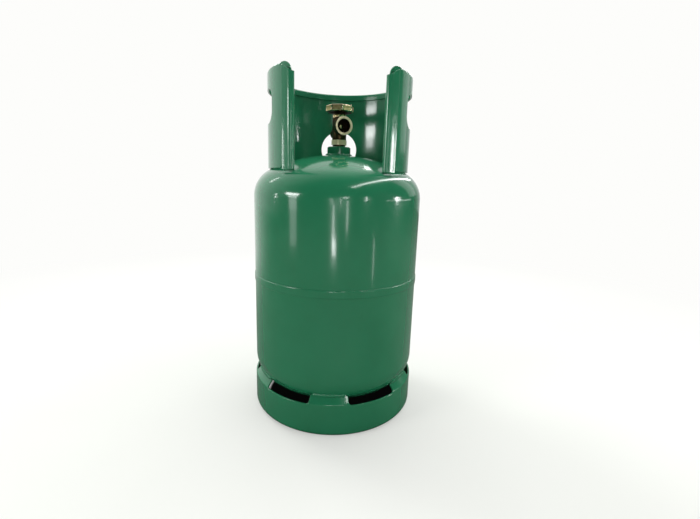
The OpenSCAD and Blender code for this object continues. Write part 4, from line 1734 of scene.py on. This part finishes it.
LAMPS = (
    Lamp("left_fill", -66.0, 12.0, 2800.0, 900.0, 1500.0, 11.0, shown=False),
    Lamp("right_fill", 66.0, 12.0, 2800.0, 900.0, 1500.0, 16.0, shown=False),
    Lamp("top_fill", 170.0, 72.0, 2400.0, 1600.0, 1600.0, 42.0, shown=False),
    Lamp("left_lamp", -62.0, 13.5, 2500.0, 850.0, 260.0, 11.0),
    Lamp("left_window_high", -60.5, 7.5, 2600.0, 600.0, 340.0, 4.4),
    Lamp("left_window_middle", -60.0, 0.5, 2600.0, 520.0, 340.0, 1.9),
    Lamp("left_window_low", -59.5, -6.5, 1800.0, 310.0, 235.0, 0.45),
    Lamp("kicker", 38.0, 7.0, 2600.0, 70.0, 600.0, 3.0),
    Lamp("left_edge_line", -88.0, 5.0, 2600.0, 40.0, 460.0, 1.4),
    Lamp("right_edge_strip", 84.0, 5.0, 2600.0, 110.0, 460.0, 7.0),
    Lamp("right_edge_line", 89.5, 5.0, 2600.0, 40.0, 460.0, 2.5),
    Lamp("right_horizon", 90.0, 2.0, 2600.0, 2200.0, 40.0, 2.2),
    Lamp("middle_strip", -3.4, -11.0, 1000.0, 84.0, 70.0, 0.28),
    Lamp("middle_haze", 5.0, 1.5, 2600.0, 720.0, 420.0, 0.7),
    Lamp("middle_haze_side", -8.0, 3.0, 2600.0, 200.0, 420.0, 0.9),
    Lamp("middle_haze_low", -5.0, -6.0, 1500.0, 70.0, 260.0, 0.5),
    Lamp("middle_window", 10.5, 10.0, 2700.0, 300.0, 300.0, 2.4),
    Lamp("middle_window_side", 4.0, 4.0, 2700.0, 60.0, 500.0, 0.9),
    Lamp("middle_window_low", 13.0, -3.0, 2700.0, 120.0, 400.0, 1.0),
    Lamp("right_strip", 51.0, -13.0, 1100.0, 22.0, 170.0, 0.08),
    Lamp("right_back_window", 122.0, 25.0, 2600.0, 1000.0, 1700.0, 3.8),
    Lamp("back_left_strip", -117.0, 33.0, 2600.0, 50.0, 600.0, 1.6),
    Lamp("back_right_spot", 163.0, 41.0, 2600.0, 180.0, 160.0, 3.0),
    Lamp("back_left_spot", -166.0, 25.0, 2600.0, 260.0, 120.0, 2.0),
)


def facing(place: Vector, aim: Vector) -> Matrix:
    """Turns a light so that it shines from one point at another.

    Args:
        place: Where the light hangs.
        aim: Point that it faces.

    Returns:
        The rotation, whose -Z points at the aim.
    """
    return (place - aim).normalized().to_track_quat("Z", "Y").to_matrix()


@dataclass
class Studio:
    """White room: floor, soft lamps, strip lights and the camera.

    The fade and the painted-shade distances are metres from the axis, because the
    floor's nodes read them; the other lengths are millimetres.
    """

    eye: tuple[float, float, float] = (0.0, -703.1, 416.58)
    yaw_deg: float = 2.1557
    pitch_deg: float = 11.5744
    roll_deg: float = 1.8549
    lens: float = 19.2736
    floor_size: float = 9000.0
    aim: tuple[float, float, float] = (0.0, -100.0, 350.0)
    bright_side: tuple[float, float, float] = (-0.45, 0.82, 0.35)
    dark_level: float = 0.05
    white: str = "#fdfdfb"
    floor_glow: float = 0.42
    gloss_share: float = 0.4
    fade: tuple[float, float] = (0.45, 1.7)
    # Radii in metres over which the painted shade inside the foot ring fades out
    painted_shade_radii: tuple[float, float] = (0.126, 0.131)
    key_place: tuple[float, float, float] = (-1500.0, 1300.0, 2300.0)
    key_aim: tuple[float, float, float] = (0.0, 0.0, 250.0)
    key_size: float = 900.0
    key_watts: float = 46.0
    tube_start: tuple[float, float, float] = (1000.0, -2500.0, 2900.0)
    tube_end: tuple[float, float, float] = (3900.0, 6500.0, 2900.0)
    tube_width: float = 170.0
    tube_watts: float = 75.0

    def axes(self) -> tuple[Vector, Vector, Vector]:
        """Works out the camera's directions from its angles.

        Returns:
            Its right, up and forward directions.
        """
        yaw, pitch = math.radians(self.yaw_deg), math.radians(self.pitch_deg)
        roll = math.radians(self.roll_deg)
        forward = Vector((math.sin(yaw) * math.cos(pitch), math.cos(yaw) * math.cos(pitch),
                          -math.sin(pitch)))
        right = Vector((math.cos(yaw), -math.sin(yaw), 0.0))
        up = right.cross(forward)
        return (right * math.cos(roll) + up * math.sin(roll),
                up * math.cos(roll) - right * math.sin(roll), forward)

    def camera(self) -> None:
        """Places the camera."""
        data = bpy.data.cameras.new("camera")
        data.lens = self.lens
        data.sensor_width = 36.0
        data.clip_start = 0.01
        data.clip_end = 100.0
        camera = bpy.data.objects.new("camera", data)
        bpy.context.scene.collection.objects.link(camera)
        right, up, forward = self.axes()
        turn = Matrix((right, up, -forward)).transposed().to_4x4()
        camera.matrix_world = Matrix.Translation(Vector(self.eye) * MM) @ turn
        bpy.context.scene.camera = camera

    def world(self) -> None:
        """Lights the room from its bright side, before a white backdrop.

        The light's level rises smoothly with the cosine between a direction
        and the bright side.
        """
        world = bpy.data.worlds.new("white_room")
        bpy.context.scene.world = world
        world.use_nodes = True
        tree = world.node_tree
        tree.nodes.clear()
        direction = add_node(tree, "ShaderNodeTexCoord")
        towards = self.towards_light(tree, direction.outputs["Generated"])
        level = add_node(tree, "ShaderNodeMapRange",
                         {"From Min": -0.05, "From Max": 0.95,
                          "To Min": self.dark_level, "To Max": 1.0,
                          ".interpolation_type": "SMOOTHSTEP"},
                         {"Value": towards})
        lit = add_node(tree, "ShaderNodeBackground", {"Color": (1.0, 1.0, 1.0, 1.0)},
                       {"Strength": level.outputs["Result"]})
        seen = add_node(tree, "ShaderNodeBackground",
                        {"Color": linear(self.white), "Strength": 1.0})
        mixed = add_node(tree, "ShaderNodeMixShader", links={
            0: self.sees_white(tree, towards, 0.6), 1: lit.outputs[0], 2: seen.outputs[0]})
        add_node(tree, "ShaderNodeOutputWorld", links={"Surface": mixed.outputs[0]})

    def towards_light(self, tree: bpy.types.NodeTree,
                      direction: bpy.types.NodeSocket) -> bpy.types.NodeSocket:
        """Returns the cosine between a direction and the room's bright side.

        Args:
            tree: Node tree of the world or the floor.
            direction: Unit direction away from the cylinder.

        Returns:
            The cosine's socket.
        """
        towards = add_node(tree, "ShaderNodeVectorMath",
                           {".operation": "DOT_PRODUCT", 1: self.bright_side}, {0: direction})
        return towards.outputs["Value"]

    def sees_white(self, tree: bpy.types.NodeTree, towards: bpy.types.NodeSocket,
                   start: float) -> bpy.types.NodeSocket:
        """Returns 1 for the camera and glass, and for gloss on the bright side only.

        Args:
            tree: Node tree of the world or the floor.
            towards: Cosine between the direction and the bright side.
            start: Cosine at which the white sets in for gloss.

        Returns:
            The share of the white that a ray sees.
        """
        path = add_node(tree, "ShaderNodeLightPath")
        behind = add_node(tree, "ShaderNodeMapRange",
                          {"From Min": start, "From Max": 1.0,
                           ".interpolation_type": "SMOOTHSTEP"}, {"Value": towards})
        mirrored = add_node(tree, "ShaderNodeMath", {".operation": "MULTIPLY"},
                            {0: path.outputs["Is Glossy Ray"], 1: behind.outputs["Result"]})
        straight = add_node(tree, "ShaderNodeMath", {".operation": "MAXIMUM"},
                            {0: path.outputs["Is Camera Ray"],
                             1: path.outputs["Is Transmission Ray"]})
        either = add_node(tree, "ShaderNodeMath", {".operation": "MAXIMUM"},
                          {0: straight.outputs[0], 1: mirrored.outputs[0]})
        return either.outputs[0]

    def dim_in_gloss(self, tree: bpy.types.NodeTree,
                     colour: bpy.types.NodeSocket) -> bpy.types.NodeSocket:
        """Returns the floor's colour, dimmer where the enamel mirrors it.

        Args:
            tree: The floor's node tree.
            colour: The floor's own colour.

        Returns:
            The colour's socket.
        """
        path = add_node(tree, "ShaderNodeLightPath")
        share = add_node(tree, "ShaderNodeMapRange", {"To Min": 1.0, "To Max": self.gloss_share},
                         {"Value": path.outputs["Is Glossy Ray"]})
        dimmed = add_node(tree, "ShaderNodeMix",
                          {".data_type": "RGBA", ".blend_type": "MULTIPLY", 0: 1.0},
                          {6: colour, 7: share.outputs["Result"]})
        return dimmed.outputs[2]

    def near_glow(self, tree: bpy.types.NodeTree,
                  open_floor: bpy.types.NodeSocket) -> bpy.types.NodeSocket:
        """Returns the strength of the white that the camera sees over the lit floor.

        Args:
            tree: The floor's node tree.
            open_floor: 1 outside the foot ring, next to nothing inside it, where shade is painted.

        Returns:
            The strength's socket.
        """
        path = add_node(tree, "ShaderNodeLightPath")
        lifted = add_node(tree, "ShaderNodeMath", {".operation": "MULTIPLY", 1: self.floor_glow},
                          {0: path.outputs["Is Camera Ray"]})
        clear = add_node(tree, "ShaderNodeMath", {".operation": "MULTIPLY"},
                         {0: lifted.outputs[0], 1: open_floor})
        return clear.outputs[0]

    def floor(self) -> None:
        """Lays a pale floor that fades into the white backdrop, with shade painted inside the foot
        ring.
        """
        half = self.floor_size / 2
        count = 13
        lines = np.linspace(-half, half, count)
        grid = np.stack(np.meshgrid(lines, lines, indexing="ij"), axis=-1).reshape(-1, 2)
        points = np.concatenate([grid, np.zeros((len(grid), 1))], axis=1)
        mesh = bpy.data.meshes.new("floor")
        mesh.from_pydata((points * MM).tolist(), [],
                         grid_faces(count, count, False, False).tolist())
        mesh.update()
        if mesh.polygons[0].normal.z < 0.0:
            mesh.flip_normals()
        floor = bpy.data.objects.new("floor", mesh)
        bpy.context.scene.collection.objects.link(floor)
        material, tree = new_tree("matt_white_floor")
        place = add_node(tree, "ShaderNodeTexCoord")
        apart = add_node(tree, "ShaderNodeVectorMath", {".operation": "LENGTH"},
                         {0: place.outputs["Object"]})
        fade = add_node(tree, "ShaderNodeMapRange",
                        {"From Min": self.fade[0], "From Max": self.fade[1],
                         ".interpolation_type": "SMOOTHSTEP"},
                        {"Value": apart.outputs["Value"]})
        dust = add_node(tree, "ShaderNodeTexNoise", {"Scale": 2.0, "Detail": 2.0},
                        {"Vector": place.outputs["Object"]})
        ramp = add_node(tree, "ShaderNodeValToRGB", links={"Fac": dust.outputs["Fac"]})
        colour_ramp(ramp, [(0.3, "#a9aba6"), (0.7, "#adafaa")])
        # Painted shade: the floor inside the foot ring is painted as good as black, where no light
        # gets in
        under = add_node(tree, "ShaderNodeMapRange",
                         {"From Min": self.painted_shade_radii[0], "From Max": self.painted_shade_radii[1],
                          "To Min": 0.004, "To Max": 1.0},
                         {"Value": apart.outputs["Value"]})
        shade = add_node(tree, "ShaderNodeMix",
                         {".data_type": "RGBA", ".blend_type": "MULTIPLY", 0: 1.0},
                         {6: ramp.outputs["Color"], 7: under.outputs["Result"]})
        matt = add_node(tree, "ShaderNodeBsdfDiffuse", {"Roughness": 0.5},
                        {"Color": self.dim_in_gloss(tree, shade.outputs[2])})
        white = add_node(tree, "ShaderNodeEmission",
                         {"Color": linear(self.white), "Strength": 1.0})
        glow = add_node(tree, "ShaderNodeEmission", {"Color": linear(self.white)},
                        {"Strength": self.near_glow(tree, under.outputs["Result"])})
        near = add_node(tree, "ShaderNodeAddShader",
                        links={0: matt.outputs[0], 1: glow.outputs[0]})
        outward = add_node(tree, "ShaderNodeVectorMath", {".operation": "NORMALIZE"},
                           {0: place.outputs["Object"]})
        towards = self.towards_light(tree, outward.outputs["Vector"])
        share = add_node(tree, "ShaderNodeMath", {".operation": "MULTIPLY"},
                         {0: fade.outputs["Result"], 1: self.sees_white(tree, towards, 0.45)})
        mixed = add_node(tree, "ShaderNodeMixShader", links={
            0: share.outputs[0], 1: near.outputs[0], 2: white.outputs[0]})
        add_node(tree, "ShaderNodeOutputMaterial", links={"Surface": mixed.outputs[0]})
        mesh.materials.append(material)
        floor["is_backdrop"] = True

    def area_light(self, name: str, size: tuple[float, float], watts: float,
                   place: Vector, turn: Matrix) -> bpy.types.Object:
        """Hangs one rectangular light.

        Args:
            name: Name of the light.
            size: Its width and height in millimetres.
            watts: Its power.
            place: Its middle, in millimetres.
            turn: Its rotation; it shines along its own -Z.

        Returns:
            The light's object.
        """
        data = bpy.data.lights.new(name, "AREA")
        data.shape = "RECTANGLE"
        data.size, data.size_y = size[0] * MM, size[1] * MM
        data.energy = watts
        light = bpy.data.objects.new(name, data)
        bpy.context.scene.collection.objects.link(light)
        light.matrix_world = Matrix.Translation(place * MM) @ turn.to_4x4()
        return light

    def hang(self, lamp: Lamp) -> None:
        """Hangs a lamp of the table.

        Args:
            lamp: The lamp.
        """
        azimuth, elevation = math.radians(lamp.azimuth_deg), math.radians(lamp.elevation_deg)
        flat = lamp.distance * math.cos(elevation)
        place = Vector((self.aim[0] + flat * math.sin(azimuth),
                        self.aim[1] - flat * math.cos(azimuth),
                        self.aim[2] + lamp.distance * math.sin(elevation)))
        light = self.area_light(lamp.name, (lamp.width, lamp.height), lamp.watts, place,
                                facing(place, Vector(self.aim)))
        light.visible_glossy = lamp.shown

    def tube(self) -> None:
        """Hangs the long ceiling tube that draws the arc over the shoulder."""
        start, end = Vector(self.tube_start), Vector(self.tube_end)
        middle, along = (start + end) / 2, end - start
        x_axis = along.normalized()
        away = middle - Vector(self.aim)
        z_axis = (away - away.dot(x_axis) * x_axis).normalized()
        turn = Matrix((x_axis, z_axis.cross(x_axis), z_axis)).transposed()
        self.area_light("ceiling_tube", (along.length, self.tube_width), self.tube_watts,
                        middle, turn)

    def lights(self) -> None:
        """Hangs the key, the lamps of the table and the ceiling tube."""
        place = Vector(self.key_place)
        key = self.area_light("key", (self.key_size, self.key_size), self.key_watts, place,
                              facing(place, Vector(self.key_aim)))
        key.visible_glossy = False
        for lamp in LAMPS:
            self.hang(lamp)
        self.tube()

    def make(self) -> None:
        """Sets up the room."""
        self.camera()
        self.world()
        self.floor()
        self.lights()
        bpy.context.scene.view_settings.view_transform = "Standard"


def main() -> None:
    """Builds the cylinder's pieces in order and sets the stage."""
    logging.basicConfig(level=logging.INFO, format="%(name)s %(message)s")
    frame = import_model()
    cad_low, cad_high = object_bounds()
    finishes = Finishes()
    Studio().make()
    shell = PressureShell(frame, finishes)
    shell.make()
    FootRing(frame, finishes, shell).make()
    ValveGuard(frame, finishes, shell).make()
    Bung(frame, finishes, shell).make()
    Valve(frame, finishes).make()
    Handwheel(frame, finishes).make()
    low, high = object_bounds()
    sizes = {"cad": [list(cad_low), list(cad_high)], "visual": [list(low), list(high)]}
    LOG.info("cad %s visual %s", sizes["cad"], sizes["visual"])


if __name__ == "__main__":
    main()
